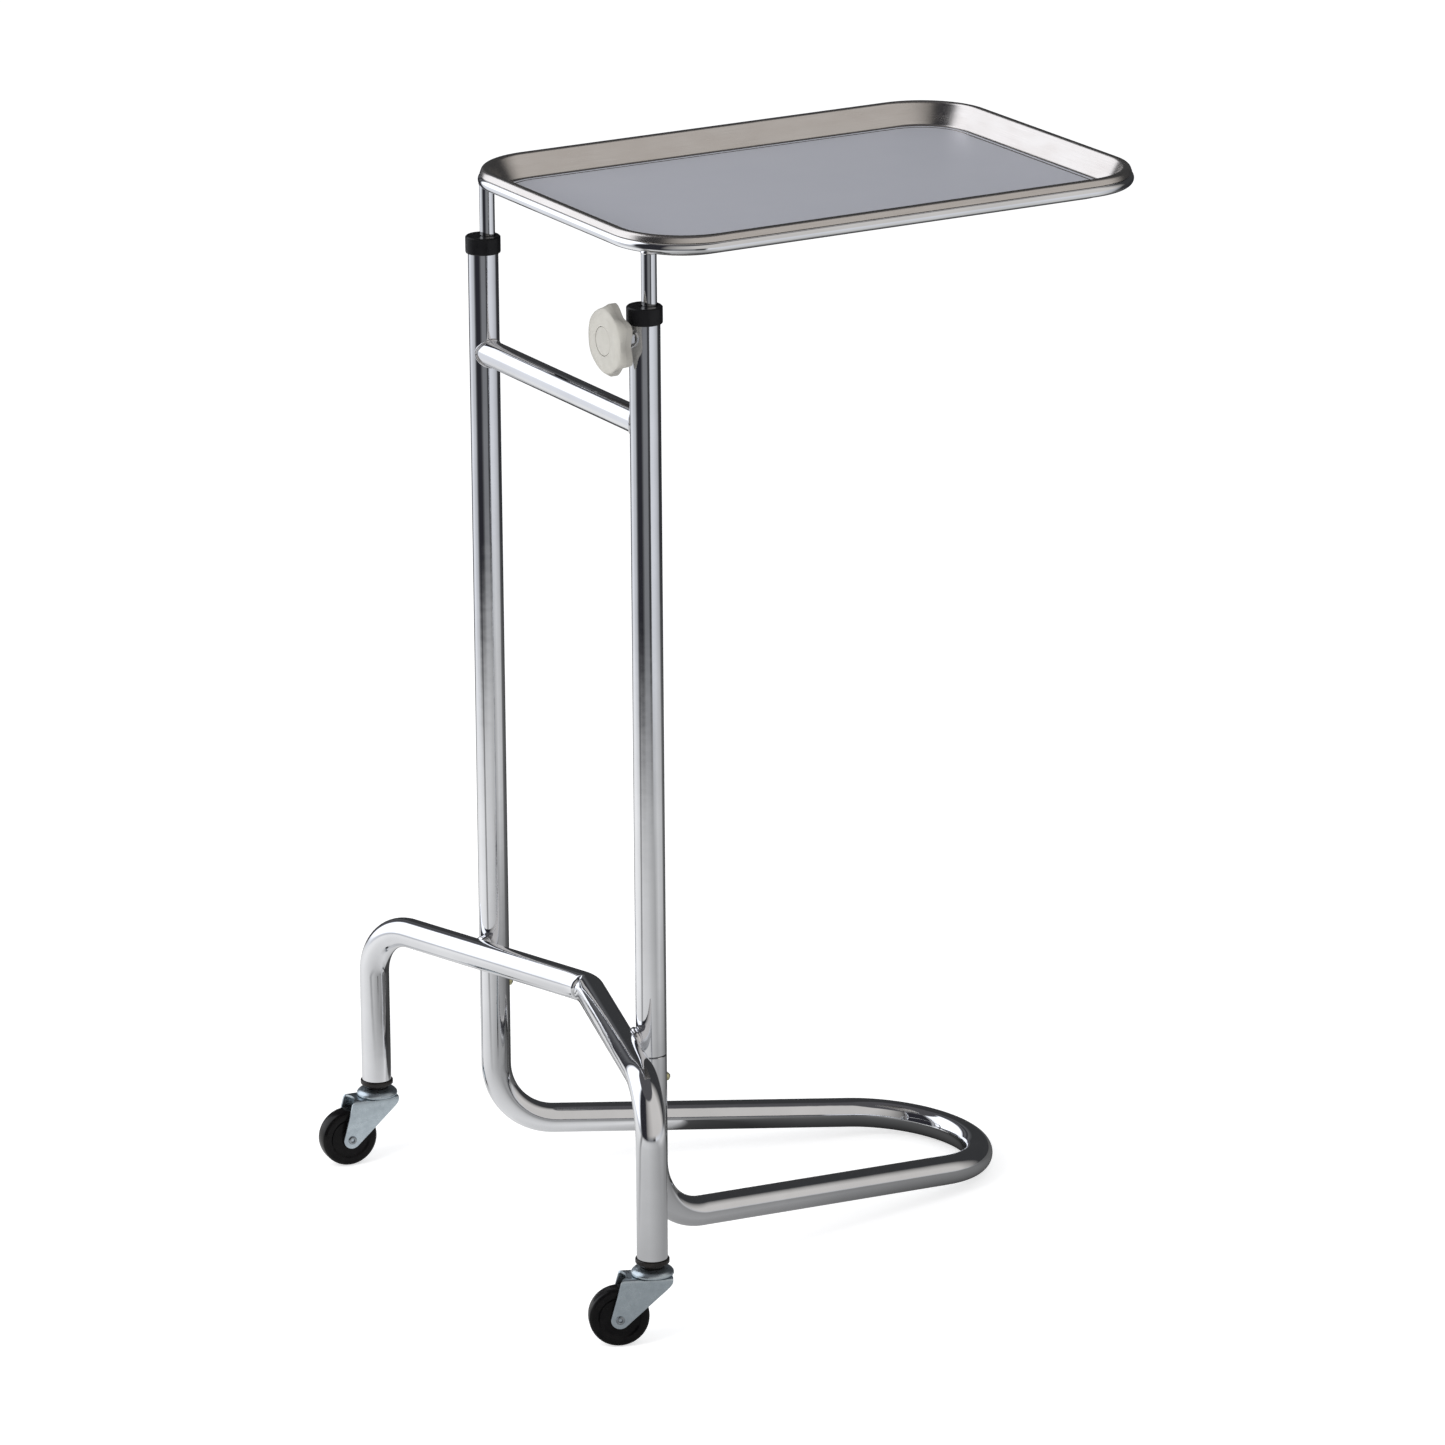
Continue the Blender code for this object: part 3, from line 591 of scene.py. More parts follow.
CHROME = chrome_material("chrome_tube")
CHROME_BRIGHT = chrome_material("chrome_rod", (0.88, 0.89, 0.91), 0.7)
CHROME_WELD = chrome_material("chrome_weld", (0.82, 0.82, 0.84), 1.5)
CHROME_NUT = chrome_material("chrome_nut", (0.50, 0.505, 0.52), 2.0)
TRAY_WALL = tray_wall_material("tray_wall_satin")
TRAY_FLOOR = tray_floor_material("tray_floor_satin_painted_reflection")
ZINC = zinc_material("zinc_pressed")
ZINC_TURNED = zinc_material(
    "zinc_turned", (0.38, 0.41, 0.44), (0.24, 0.27, 0.29), (0.14, 0.24))
YELLOW_ZINC = zinc_material(
    "zinc_yellow", (0.62, 0.60, 0.38), (0.48, 0.45, 0.26), (0.26, 0.40))
CAP_BLACK = plastic_material(
    "cap_black", (0.005, 0.005, 0.006), (0.009, 0.009, 0.010), (0.22, 0.36),
    grain=900.0, relief=0.05, gloss=0.16)
SOCKET_BLACK = plastic_material(
    "socket_black", (0.008, 0.007, 0.007), (0.016, 0.014, 0.013), (0.14, 0.26),
    grain=700.0, relief=0.03, gloss=0.30)
# The knob's sides get a painted shade towards the back
KNOB_GREY = plastic_material(
    "knob_grey", (0.485, 0.472, 0.432), (0.445, 0.432, 0.392), (0.34, 0.46),
    grain=1000.0, relief=0.08,
    painted_side_shade=(ORIGIN.x - SIDE_SHADE_START_X, ORIGIN.x - SIDE_SHADE_FULL_X, (0.335, 0.322, 0.292)))
NYLON = plastic_material("glide_nylon", (0.80, 0.79, 0.75), (0.72, 0.71, 0.66), (0.38, 0.52))
WHEEL_BLACK = wheel_material("wheel_black")


# The welded stand

def build_posts():
    for side, sign in SIDES:
        path = filleted(((0.0, 0.0, POST_BOTTOM_Z), (0.0, 0.0, POST_TOP_Z)), ())
        mesh = tube("post_tube_" + side, path, TUBE_R, BORE_R, (1.0, 0.0, 0.0))
        piece("post_tube_" + side, mesh, "stand", "post_" + side, CHROME, at(y=sign * POST_Y))


def build_crossbar():
    """The bar between the posts, cut to saddle them, with a weld bead at each end."""
    def ring(radius, share):
        points = []
        for a in angles(TUBE_STEPS):
            x = radius * cos(a)
            end = POST_Y - sqrt(TUBE_R ** 2 - x ** 2)
            points.append(Vector((x, share * end, CROSSBAR_Z + radius * sin(a))))
        return points

    shares = [1.0 - 2.0 * i / 24.0 for i in range(25)]
    outer = [ring(CROSSBAR_R, s) for s in shares]
    inner = [ring(CROSSBAR_R - CROSSBAR_WALL, s) for s in reversed(shares)]
    mesh = uv_skin("crossbar_tube", outer + inner, joined=True)
    piece("crossbar_tube", mesh, "stand", "crossbar", CHROME)
    reach = CROSSBAR_R + 0.0005
    for side, sign in SIDES:
        path = []
        radii = []
        for a in angles(96):
            x = reach * cos(a)
            y = POST_Y - sqrt(TUBE_R ** 2 - x ** 2) - 0.0005
            path.append(Vector((x, sign * y, CROSSBAR_Z + reach * sin(a))))
            ripple = 0.00006 * sin(17.0 * a)
            radii.append(0.00105 + ripple + 0.00008 * sin(5.0 * a + 1.0))
        name = "crossbar_weld_" + side
        piece(name, bead(name, path, radii), "stand", "crossbar", CHROME_WELD, extra=True)


def arm_x(y):
    """Where the axis of an arm of the caster bar runs, at a distance y from the middle."""
    slope = tan(ARM_ANGLE)
    return POST_Y * slope - BAR_OFFSET / cos(ARM_ANGLE) - y * slope


LEG_X = arm_x(LEG_Y)


def pinched(point, centre):
    """The tube buckles inward on the inside of its sharpest bend and swells beside the crease."""
    inner_side = (centre.x - point.x) / TUBE_R
    if inner_side <= 0.0:
        return point
    away = abs(centre.y)
    crease = APEX_PINCH * exp(-(away / PINCH_WIDTH) ** 2)
    swell = APEX_SWELL * exp(-((away - SWELL_AWAY) / SWELL_WIDTH) ** 2)
    return Vector((point.x + (crease - swell) * inner_side ** 1.3, point.y, point.z))


def build_caster_bar():
    corners = (
        (LEG_X, LEG_Y, LEG_BOTTOM_Z),
        (LEG_X, LEG_Y, BAR_Z),
        (arm_x(0.0), 0.0, BAR_Z),
        (LEG_X, -LEG_Y, BAR_Z),
        (LEG_X, -LEG_Y, LEG_BOTTOM_Z),
    )
    path = filleted(corners, (LEG_BEND_R, APEX_BEND_R, LEG_BEND_R), radians(2.2), 0.007)
    mesh = tube("caster_bar_tube", path, TUBE_R, BORE_R, (1.0, 0.0, 0.0), shape=pinched)
    piece("caster_bar_tube", mesh, "stand", "caster_bar", CHROME)
    for side, sign in SIDES:
        build_bar_weld(side, sign)


def build_bar_weld(side, sign):
    """A bead in the wedge where the bar crosses behind a post."""
    across = Vector((-sin(ARM_ANGLE), sign * cos(ARM_ANGLE), 0.0))
    away = Vector((-cos(ARM_ANGLE), -sign * sin(ARM_ANGLE), 0.0))
    post = Vector((0.0, sign * POST_Y, BAR_Z))
    path = []
    radii = []
    for a in angles(72):
        u = BAR_WELD_HALF_WIDTH * cos(a)
        v = BAR_WELD_HALF_HEIGHT * sin(a)
        post_skin = sqrt(TUBE_R ** 2 - u ** 2)
        bar_skin = BAR_OFFSET - sqrt(TUBE_R ** 2 - v ** 2)
        middle = (post_skin + bar_skin) / 2.0
        path.append(post + across * u + away * middle + Vector((0.0, 0.0, v)))
        ripple = 0.00008 * sin(15.0 * a) + 0.00015 * sin(4.0 * a)
        radii.append((bar_skin - post_skin) / 2.0 + 0.00075 + ripple)
    name = "bar_weld_" + side
    piece(name, bead(name, path, radii), "stand", "caster_bar", CHROME_WELD, extra=True)


def build_base_loop():
    """One tube: down from both posts, forward along the floor and round a nose."""
    meet_x = POST_Y / BASE_CONVERGE
    half_turn = atan(BASE_CONVERGE)
    nose_x = meet_x - BASE_NOSE_R * (1.0 / sin(half_turn) - 1.0)
    heel_z = TUBE_R - BASE_SLOPE * nose_x
    corners = (
        (0.0, POST_Y, BASE_TOP_Z),
        (0.0, POST_Y, heel_z),
        (meet_x, 0.0, heel_z + BASE_SLOPE * meet_x),
        (0.0, -POST_Y, heel_z),
        (0.0, -POST_Y, BASE_TOP_Z),
    )
    path = filleted(corners, (BASE_HEEL_R, BASE_NOSE_R, BASE_HEEL_R))
    mesh = tube("base_loop_tube", path, TUBE_R, BORE_R, (1.0, 0.0, 0.0))
    piece("base_loop_tube", mesh, "stand", "base_loop", CHROME)
    for side, sign in SIDES:
        build_base_screw(side, sign)


def build_base_screw(side, sign):
    """Pan-head screw with a cross recess."""
    start = TUBE_R - 0.0001
    outline = (
        (0.0004, 0.0070, 0.0),
        (SCREW_SHANK_R, 0.0074, 0.0003),
        (SCREW_SHANK_R, start, 0.0),
        (SCREW_HEAD_R, start, 0.0002),
        (SCREW_HEAD_R, start + 0.0022, 0.0014),
        (0.0016, start + 0.0043, 0.0010),
        (0.0004, start + SCREW_HEAD_H, 0.0),
    )
    name = "base_screw_head_" + side
    mesh = onto_axis(turned(name, outline, 40), (1.0, 0.0, 0.0))
    spot = at(y=sign * POST_Y, z=SCREW_Z)
    item = piece(name, mesh, "stand", "base_screw_" + side, YELLOW_ZINC, spot)
    bm = bmesh.new()
    face = Vector((start + SCREW_HEAD_H, sign * POST_Y, SCREW_Z))
    for tall, wide in ((RECESS_LENGTH, RECESS_WIDTH), (RECESS_WIDTH, RECESS_LENGTH)):
        made = bmesh.ops.create_cube(bm, size=1.0)
        shape = Matrix.Diagonal((RECESS_DEPTH, wide, tall, 1.0))
        shape = Matrix.Translation(ORIGIN + face) @ shape
        bmesh.ops.transform(bm, matrix=shape, verts=made["verts"])
    cutter = add_object(name + "_recess", to_mesh(bm, name + "_recess"))
    modifier = item.modifiers.new("recess", 'BOOLEAN')
    modifier.object = cutter
    modifier.operation = 'DIFFERENCE'
    modifier.solver = 'EXACT'
    modifier.use_self = True
    keep_result(item)
    bpy.data.objects.remove(cutter)


def build_caps():
    """Push-on post caps, each with an off-centre hole for the rod and a lip round it."""
    hole = ROD_R + 0.0004
    inner = TUBE_R + 0.0003
    turns = angles(72)
    rim = (
        (inner, CAP_BOTTOM_Z),
        (CAP_R - 0.0003, CAP_BOTTOM_Z),
        (CAP_R, CAP_BOTTOM_Z + 0.0012),
        (CAP_R, CAP_TOP_Z - 0.0010),
        (CAP_R - 0.0010, CAP_TOP_Z),
    )
    for side, sign in SIDES:
        rings = [circle(r, z, turns) for r, z in rounded(rim, 0.0006, 4)]
        top = rings[-1]
        around_hole = [
            Vector((ROD_X + hole * cos(a), hole * sin(a), CAP_TOP_Z)) for a in turns]
        for share, drop in ((0.25, 0.00005), (0.6, 0.0002), (0.88, 0.0002)):
            down = Vector((0.0, 0.0, drop))
            rings.append([p.lerp(q, share) - down for p, q in zip(top, around_hole)])
        rings.append([q + (p - q) * 0.04 for p, q in zip(top, around_hole)])
        for depth in (0.0004, CAP_ROOF):
            rings.append([q - Vector((0.0, 0.0, depth)) for q in around_hole])
        rings.append(circle(inner, CAP_TOP_Z - CAP_ROOF, turns))
        name = "post_cap_moulded_" + side
        mesh = uv_skin(name, rings, joined=True)
        piece(name, mesh, "stand", "post_cap_" + side, CAP_BLACK, at(y=sign * POST_Y))


def disc_ring(x, reaches, turns):
    """A ring round the clamp's axis, x behind the post axis, with a reach for each turn."""
    return [Vector((-x, r * cos(a), r * sin(a))) for r, a in zip(reaches, turns)]


def build_clamp():
    spot = at(y=-POST_Y, z=CLAMP_Z)
    build_nut(spot)
    build_stud(spot)
    build_knob(spot)


def build_nut(spot):
    """Hexagon nut with turned corners, and the bead that welds it to the post."""
    near = TUBE_R - 0.0002
    sixth = pi / 6.0
    turns = angles(72)
    flats = [NUT_FLAT_R / cos((a + sixth) % (pi / 3.0) - sixth) for a in turns]
    hexagon = [min(flat, NUT_CORNER_R) for flat in flats]
    rings = [disc_ring(NUT_FACE_X, [NUT_CORNER_R * share] * 72, turns) for share in (0.62, 0.86)]
    rings += [disc_ring(x, hexagon, turns) for x in (NUT_FACE_X - 0.0009, near)]
    rings += [disc_ring(x, [NUT_BORE_R] * 72, turns) for x in (near, NUT_FACE_X)]
    mesh = uv_skin("clamp_nut_hex", rings, joined=True)
    piece("clamp_nut_hex", mesh, "stand", "clamp_nut", CHROME_NUT, spot)
    path = []
    radii = []
    for a in angles(80):
        y = CLAMP_WELD_R * cos(a)
        x = -sqrt(TUBE_R ** 2 - y ** 2) - 0.0003
        path.append(Vector((x, y - POST_Y, CLAMP_Z + CLAMP_WELD_R * sin(a))))
        radii.append(0.00150 + 0.00016 * sin(13.0 * a))
    mesh = bead("clamp_weld", path, radii)
    piece("clamp_weld", mesh, "stand", "clamp_nut", CHROME_NUT, extra=True)


def build_stud(spot):
    """The clamp's stud with its thread, from the rod to inside the knob."""
    tip = -(ROD_X - ROD_R) + 0.0003
    outline = [(0.0003, tip), (0.0030, tip), (0.0035, tip + 0.0007)]
    z = tip + 0.0010
    while z < THREAD_END_X:
        outline.append((STUD_ROOT_R, z))
        outline.append((STUD_CREST_R, z + THREAD_PITCH / 2.0))
        z += THREAD_PITCH
    outline.append((STUD_ROOT_R, STUD_END_X))
    outline.append((0.0003, STUD_END_X))
    name = "clamp_stud_thread"
    mesh = onto_axis(turned(name, outline, 40, 0.0), (-1.0, 0.0, 0.0))
    piece(name, mesh, "clamp_screw", "clamp_stud", ZINC_TURNED, spot)


def knob_ring(radius, x, dip_share, turns):
    """A ring of the knob: wide hollows between narrow ridges, one ridge straight up."""
    waves = [0.5 - 0.5 * cos(KNOB_LOBES * (a - 0.5 * pi)) for a in turns]
    return disc_ring(x, [radius - KNOB_DIP * dip_share * w ** 0.80 for w in waves], turns)


def build_knob(spot):
    """The lobed hand knob and the disc let into its face."""
    turns = angles(KNOB_LOBES * 40)
    front = KNOB_FACE_X
    back = KNOB_BACK_X
    bore = KNOB_BORE_R
    groove = KNOB_CAP_R + 0.0004
    outline = (
        (bore, KNOB_HUB_X, 0.0),
        (0.0086, KNOB_HUB_X, 0.0008),
        (0.0100, back - 0.0008, 0.0012),
        (0.0210, back - 0.0004, 0.0020),
        (KNOB_R, back + 0.0010, 0.0014),
        (KNOB_R, front - 0.0072, 0.0018),
        (KNOB_R - 0.0036, front - 0.0014, 0.0022),
        (0.0210, front, 0.0040),
        (groove, front - 0.0002, 0.0003),
        (groove, front - 0.0020, 0.0),
        (bore, front - 0.0020, 0.0),
    )
    profile = rounded(outline, 0.001, 7, closed=True)
    rings = []
    for r, x in profile:
        wide = min(1.0, max(0.0, (r - 0.0130) / (KNOB_R - 0.0130)))
        deep = 0.15 + 0.85 * min(1.0, max(0.0, (front - 0.0022 - x) / 0.0065))
        rings.append(knob_ring(r, x, wide * deep, turns))
    mesh = uv_skin("clamp_knob_lobed", rings, joined=True)
    piece("clamp_knob_lobed", mesh, "clamp_handle", "clamp_knob", KNOB_GREY, spot)
    outline = (
        (0.0003, front - 0.0017, 0.0),
        (KNOB_CAP_R, front - 0.0017, 0.0),
        (KNOB_CAP_R, front - 0.0004, 0.0004),
        (0.0060, front - 0.0004, 0.0),
        (0.0003, front - 0.0004, 0.0),
    )
    mesh = onto_axis(turned("knob_cap_disc", outline, 72), (-1.0, 0.0, 0.0))
    piece("knob_cap_disc", mesh, "clamp_handle", "knob_cap", KNOB_GREY, spot)


# Tray and its support

def build_support():
    """The wire ring under the tray's rim and the two rods that carry it."""
    path = rounded_rectangle(RING_OUTSET, RING_Z, 28, 16)
    rings = sweep(path, RING_R, 32, True, (0.0, 0.0, 1.0))
    mesh = uv_skin("tray_ring_rod", rings, joined=True)
    piece("tray_ring_rod", mesh, "tray_support", "tray_ring", CHROME_BRIGHT)
    top_z = RING_Z - 0.0016
    for side, sign in SIDES:
        name = "support_rod_tube_" + side
        node = "support_rod_" + side
        rod_top_z = RING_Z - RING_R - 0.0003
        path = filleted(((0.0, 0.0, ROD_BOTTOM_Z), (0.0, 0.0, rod_top_z)), ())
        mesh = tube(name, path, ROD_R, ROD_R - 0.0012, (1.0, 0.0, 0.0))
        spot = at(ROD_X, sign * POST_Y)
        piece(name, mesh, "tray_support", node, CHROME_BRIGHT, spot)
        # Weld that fills the top of the rod against the ring
        low = RING_Z - RING_R - 0.0012
        outline = (
            (0.0002, low + 0.0002, 0.0),
            (ROD_R - 0.0002, low, 0.0),
            (ROD_R + 0.0006, low + 0.0010, 0.0006),
            (ROD_R + 0.0001, low + 0.0028, 0.0010),
            (0.0046, top_z, 0.0012),
            (0.0002, top_z, 0.0),
        )
        name = "rod_weld_" + side
        mesh = turned(name, outline, 40, 0.0005)
        piece(name, mesh, "tray_support", node, CHROME_WELD, spot, extra=True)


def tray_profile():
    """The sheet's top side from the rim's edge to the floor: (outset, height) points."""
    outline = (
        (0.0062, -0.0054, 0.0),
        (0.0042, -0.0001, 0.0036),
        (-0.0012, -0.0001, 0.0034),
        (-0.0120, -0.0193, 0.0046),
        (-0.0160, -TRAY_DEPTH, 0.0),
        (-0.0170, -TRAY_DEPTH - 0.00030, 0.0003),
        (-0.0180, -TRAY_DEPTH - 0.00002, 0.0003),
        (-0.0200, -TRAY_DEPTH, 0.0),
    )
    return rounded(outline, 0.001, 7)


def build_tray():
    """The pressed tray: satin walls and rim, and a finer finish on the flat floor, whose paler
    bluish colour is partly painted reflection.
    """
    profile = tray_profile()
    top = [rounded_rectangle(o, RIDGE_Z + h) for o, h in profile]
    under = []
    last = len(profile) - 1
    for i, point in enumerate(profile):
        way = (profile[min(i + 1, last)] - profile[max(i - 1, 0)]).normalized()
        if i >= last - 1:
            way = Vector((-1.0, 0.0))
        inset = point.x - way.y * TRAY_SHEET
        under.append(rounded_rectangle(inset, RIDGE_Z + point.y + way.x * TRAY_SHEET))
    rings = top[::-1] + under
    mesh = uv_skin("tray_pressing", rings)
    item = piece("tray_pressing", mesh, "tray_pan", "tray", TRAY_WALL)
    item.data.materials.append(TRAY_FLOOR)
    floor_edge = RIDGE_Z - TRAY_DEPTH
    for face in item.data.polygons:
        if len(face.vertices) > 4 and face.normal.z > 0.9:
            face.material_index = 1
        elif face.normal.z > 0.97 and abs(face.center.z - floor_edge) < 0.0005:
            face.material_index = 1


# Casters

def fork_rows():
    """Rows of the fork's sheet across its width: (distance across, rear end, front end)."""
    half = FORK_WIDTH / 2.0 - FORK_SHEET / 2.0
    bend = FORK_BEND_R
    flat = half - bend
    toe = Vector((CASTER_TRAIL, WHEEL_R))
    heel = Vector((FORK_BACK, FORK_TOP_Z - FORK_HEEL_DROP))
    line = toe - heel
    lean = atan2(line.y, line.x) - asin(FORK_TOE_R / line.length) - pi / 2.0
    rear_touch = toe + FORK_TOE_R * Vector((cos(lean), sin(lean)))
    front_way = Vector((cos(FORK_TOE_LEAN), sin(FORK_TOE_LEAN)))
    front_touch = toe + FORK_TOE_R * front_way
    top_z = FORK_TOP_Z - FORK_SHEET / 2.0

    def ends(z):
        if z >= rear_touch.y:
            slope = (rear_touch.x - heel.x) / (heel.y - rear_touch.y)
            below = log1p(exp((heel.y - z) / FORK_HEEL_SOFT))
            rear = heel.x + slope * FORK_HEEL_SOFT * below
        else:
            rear = toe.x - sqrt(max(0.0, FORK_TOE_R ** 2 - (z - toe.y) ** 2))
        if z >= front_touch.y:
            share = (FORK_TOP_Z - z) / (FORK_TOP_Z - front_touch.y)
            front = FORK_FRONT + (front_touch.x - FORK_FRONT) * share
        else:
            front = toe.x + sqrt(max(0.0, FORK_TOE_R ** 2 - (z - toe.y) ** 2))
        return rear, front

    rows = []
    lowest = WHEEL_R - FORK_TOE_R
    straight_top = top_z - bend
    count = 44
    for i in range(count + 1):
        share = i / count
        z = lowest + (straight_top - lowest) * (1.0 - cos(share * pi / 2.0)) ** 0.9
        rear, front = ends(z)
        rows.append((Vector((half, z)), rear, front))
    turns = [pi / 2.0 * i / 8 for i in range(1, 9)]
    over = [(flat + bend * cos(a), straight_top + bend * sin(a)) for a in turns]
    over += [(flat * (1.0 - i / 10.0), top_z) for i in range(1, 11)]
    for y, z in over:
        rear, front = ends(z)
        hollow = FORK_HOLLOW * (1.0 - (y / half) ** 2)
        rows.append((Vector((y, z)), rear, front - hollow))
    mirrored = [(Vector((-v.x, v.y)), rear, front) for v, rear, front in rows[-2::-1]]
    return rows + mirrored


def fork_mesh(name):
    """The fork as a sheet without thickness."""
    bm = bmesh.new()
    grid = []
    columns = 22
    for spot, rear, front in fork_rows():
        line = []
        for c in range(columns + 1):
            t = rear + (front - rear) * c / columns
            line.append(bm.verts.new((t, spot.x, spot.y)))
        grid.append(line)
    for lower, upper in zip(grid, grid[1:]):
        for c in range(columns):
            bm.faces.new((lower[c], lower[c + 1], upper[c + 1], upper[c]))
    bmesh.ops.remove_doubles(bm, verts=bm.verts, dist=0.00002)
    bmesh.ops.recalc_face_normals(bm, faces=bm.faces)
    return to_mesh(bm, name)


def thicken(item, thickness, edge):
    """Gives a sheet its thickness and broken edges, and keeps the result as the mesh."""
    solid = item.modifiers.new("sheet", 'SOLIDIFY')
    solid.thickness = thickness
    solid.offset = 0.0
    solid.use_even_offset = True
    bevel = item.modifiers.new("edges", 'BEVEL')
    bevel.width = edge
    bevel.segments = 2
    bevel.limit_method = 'ANGLE'
    bevel.angle_limit = radians(50.0)
    keep_result(item)
    smooth(item.data)


def build_caster(side, sign):
    """Socket and cup on the leg, fork and rivet that swivel, and the wheel."""
    leg = at(LEG_X, sign * LEG_Y)
    swivel = "swivel_" + side
    turn = leg @ Matrix.Rotation(TRAIL_ANGLE[side], 4, 'Z')
    axle = turn @ at(CASTER_TRAIL, 0.0, WHEEL_R)
    across = (0.0, 1.0, 0.0)

    socket = (
        (0.0053, 0.0668, 0.0),
        (0.0098, 0.0666, 0.0006),
        (0.0108, 0.0696, 0.0006),
        (0.0124, 0.0697, 0.0006),
        (0.0141, 0.0700, 0.0019),
        (0.0141, 0.0737, 0.0017),
        (0.0126, 0.0738, 0.0004),
        (0.0107, 0.0739, 0.0),
        (0.0107, 0.1118, 0.0008),
        (0.0053, 0.1118, 0.0),
    )
    name = "caster_socket_moulded_" + side
    mesh = turned(name, socket, 72, 0.0005, joined=True, corner_steps=6)
    piece(name, mesh, "stand", "caster_socket_" + side, SOCKET_BLACK, leg)

    cup = (
        (0.0054, 0.0665, 0.0),
        (0.0108, 0.0664, 0.0012),
        (0.0154, 0.0648, 0.0060),
        (0.0174, 0.0626, 0.0020),
        (0.0176, 0.0614, 0.0008),
        (0.0176, 0.0605, 0.0005),
        (0.0164, 0.0605, 0.0003),
        (0.0163, 0.0620, 0.0010),
        (0.0146, 0.0638, 0.0030),
        (0.0106, 0.0652, 0.0008),
        (0.0054, 0.0652, 0.0),
    )
    name = "swivel_cup_pressed_" + side
    mesh = turned(name, cup, 72, 0.0004, joined=True, corner_steps=6)
    piece(name, mesh, "stand", "swivel_cup_" + side, ZINC, leg)

    name = "caster_fork_pressed_" + side
    item = piece(name, fork_mesh(name), swivel, "caster_fork_" + side, ZINC, turn)
    thicken(item, FORK_SHEET, 0.00035)

    # Tubular rivet: rolled heads with a hollow in the middle
    outer = FORK_WIDTH / 2.0 + 0.00005
    head = (
        (0.0003, outer - 0.0006, 0.0),
        (0.0012, outer - 0.0004, 0.0004),
        (0.0018, outer + 0.0013, 0.0004),
        (0.0029, outer + 0.0016, 0.0006),
        (0.0037, outer + 0.0006, 0.0006),
        (0.0036, outer, 0.0),
    )
    shank = ((0.0023, outer, 0.0), (0.0023, -outer, 0.0))
    mirrored = tuple((r, -z, e) for r, z, e in head[::-1])
    name = "axle_rivet_rolled_" + side
    mesh = onto_axis(turned(name, head + shank + mirrored, 48, 0.0003), across)
    piece(name, mesh, swivel, "axle_rivet_" + side, ZINC_TURNED, axle)

    half = WHEEL_WIDTH / 2.0
    face = (
        (0.0045, 0.0096, 0.0),
        (0.0070, 0.0096, 0.0006),
        (0.0080, 0.0071, 0.0010),
        (0.0162, 0.0068, 0.0012),
        (0.0180, 0.0083, 0.0010),
        (0.0200, half, 0.0008),
        (0.0226, half, 0.0018),
        (WHEEL_R - 0.0004, half - 0.0022, 0.0024),
        (WHEEL_R, half - 0.0052, 0.0),
    )
    name = "wheel_moulded_" + side
    outline = face + tuple((r, -z, e) for r, z, e in face[::-1])
    mesh = onto_axis(turned(name, outline, 128, 0.0006, joined=True, corner_steps=6), across)
    piece(name, mesh, "rolling_" + side, "wheel_" + side, WHEEL_BLACK, axle)


# What stays from the frame gets its own finish

KEPT_NODES = {
    "post_sleeve": ZINC_TURNED,
    "rod_glide": NYLON,
    "caster_stem": ZINC_TURNED,
    "ball_ring": ZINC_TURNED,
    "wheel_bushing": ZINC_TURNED,
}


def finish_kept_nodes():
    for name, material in KEPT_NODES.items():
        for side, _ in SIDES:
            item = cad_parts[name + "_" + side]
            item.data.materials.clear()
            item.data.materials.append(material)


# Studio

def floor_sheet(name, size, z):
    """A square of floor, the graph of its empty material and the socket for its surface."""
    half = size / 2.0
    mesh = bpy.data.meshes.new(name)
    corners = ((-half, -half, z), (half, -half, z), (half, half, z), (-half, half, z))
    mesh.from_pydata(corners, [], [(0, 1, 2, 3)])
    item = add_object(name, mesh)
    material = bpy.data.materials.new(name)
    material.use_nodes = True
    mesh.materials.append(material)
    nodes = material.node_tree.nodes
    nodes.remove(nodes["Principled BSDF"])
    return item, Graph(material), nodes["Material Output"].inputs["Surface"]


def build_floor():
    """Pale floor.  Polished metal sees another sheet just above it instead."""
    item, graph, surface = floor_sheet("floor", 80.0, -0.0004)
    item.visible_glossy = False
    paint = graph.add("ShaderNodeBsdfDiffuse", {"Color": (0.72, 0.72, 0.72, 1.0)})
    glow = graph.add("ShaderNodeEmission", {"Color": (1.0, 1.0, 1.0, 1.0), "Strength": 0.62})
    both = graph.add("ShaderNodeAddShader", {0: paint.outputs[0], 1: glow.outputs[0]})
    graph.tree.links.new(both.outputs[0], surface)


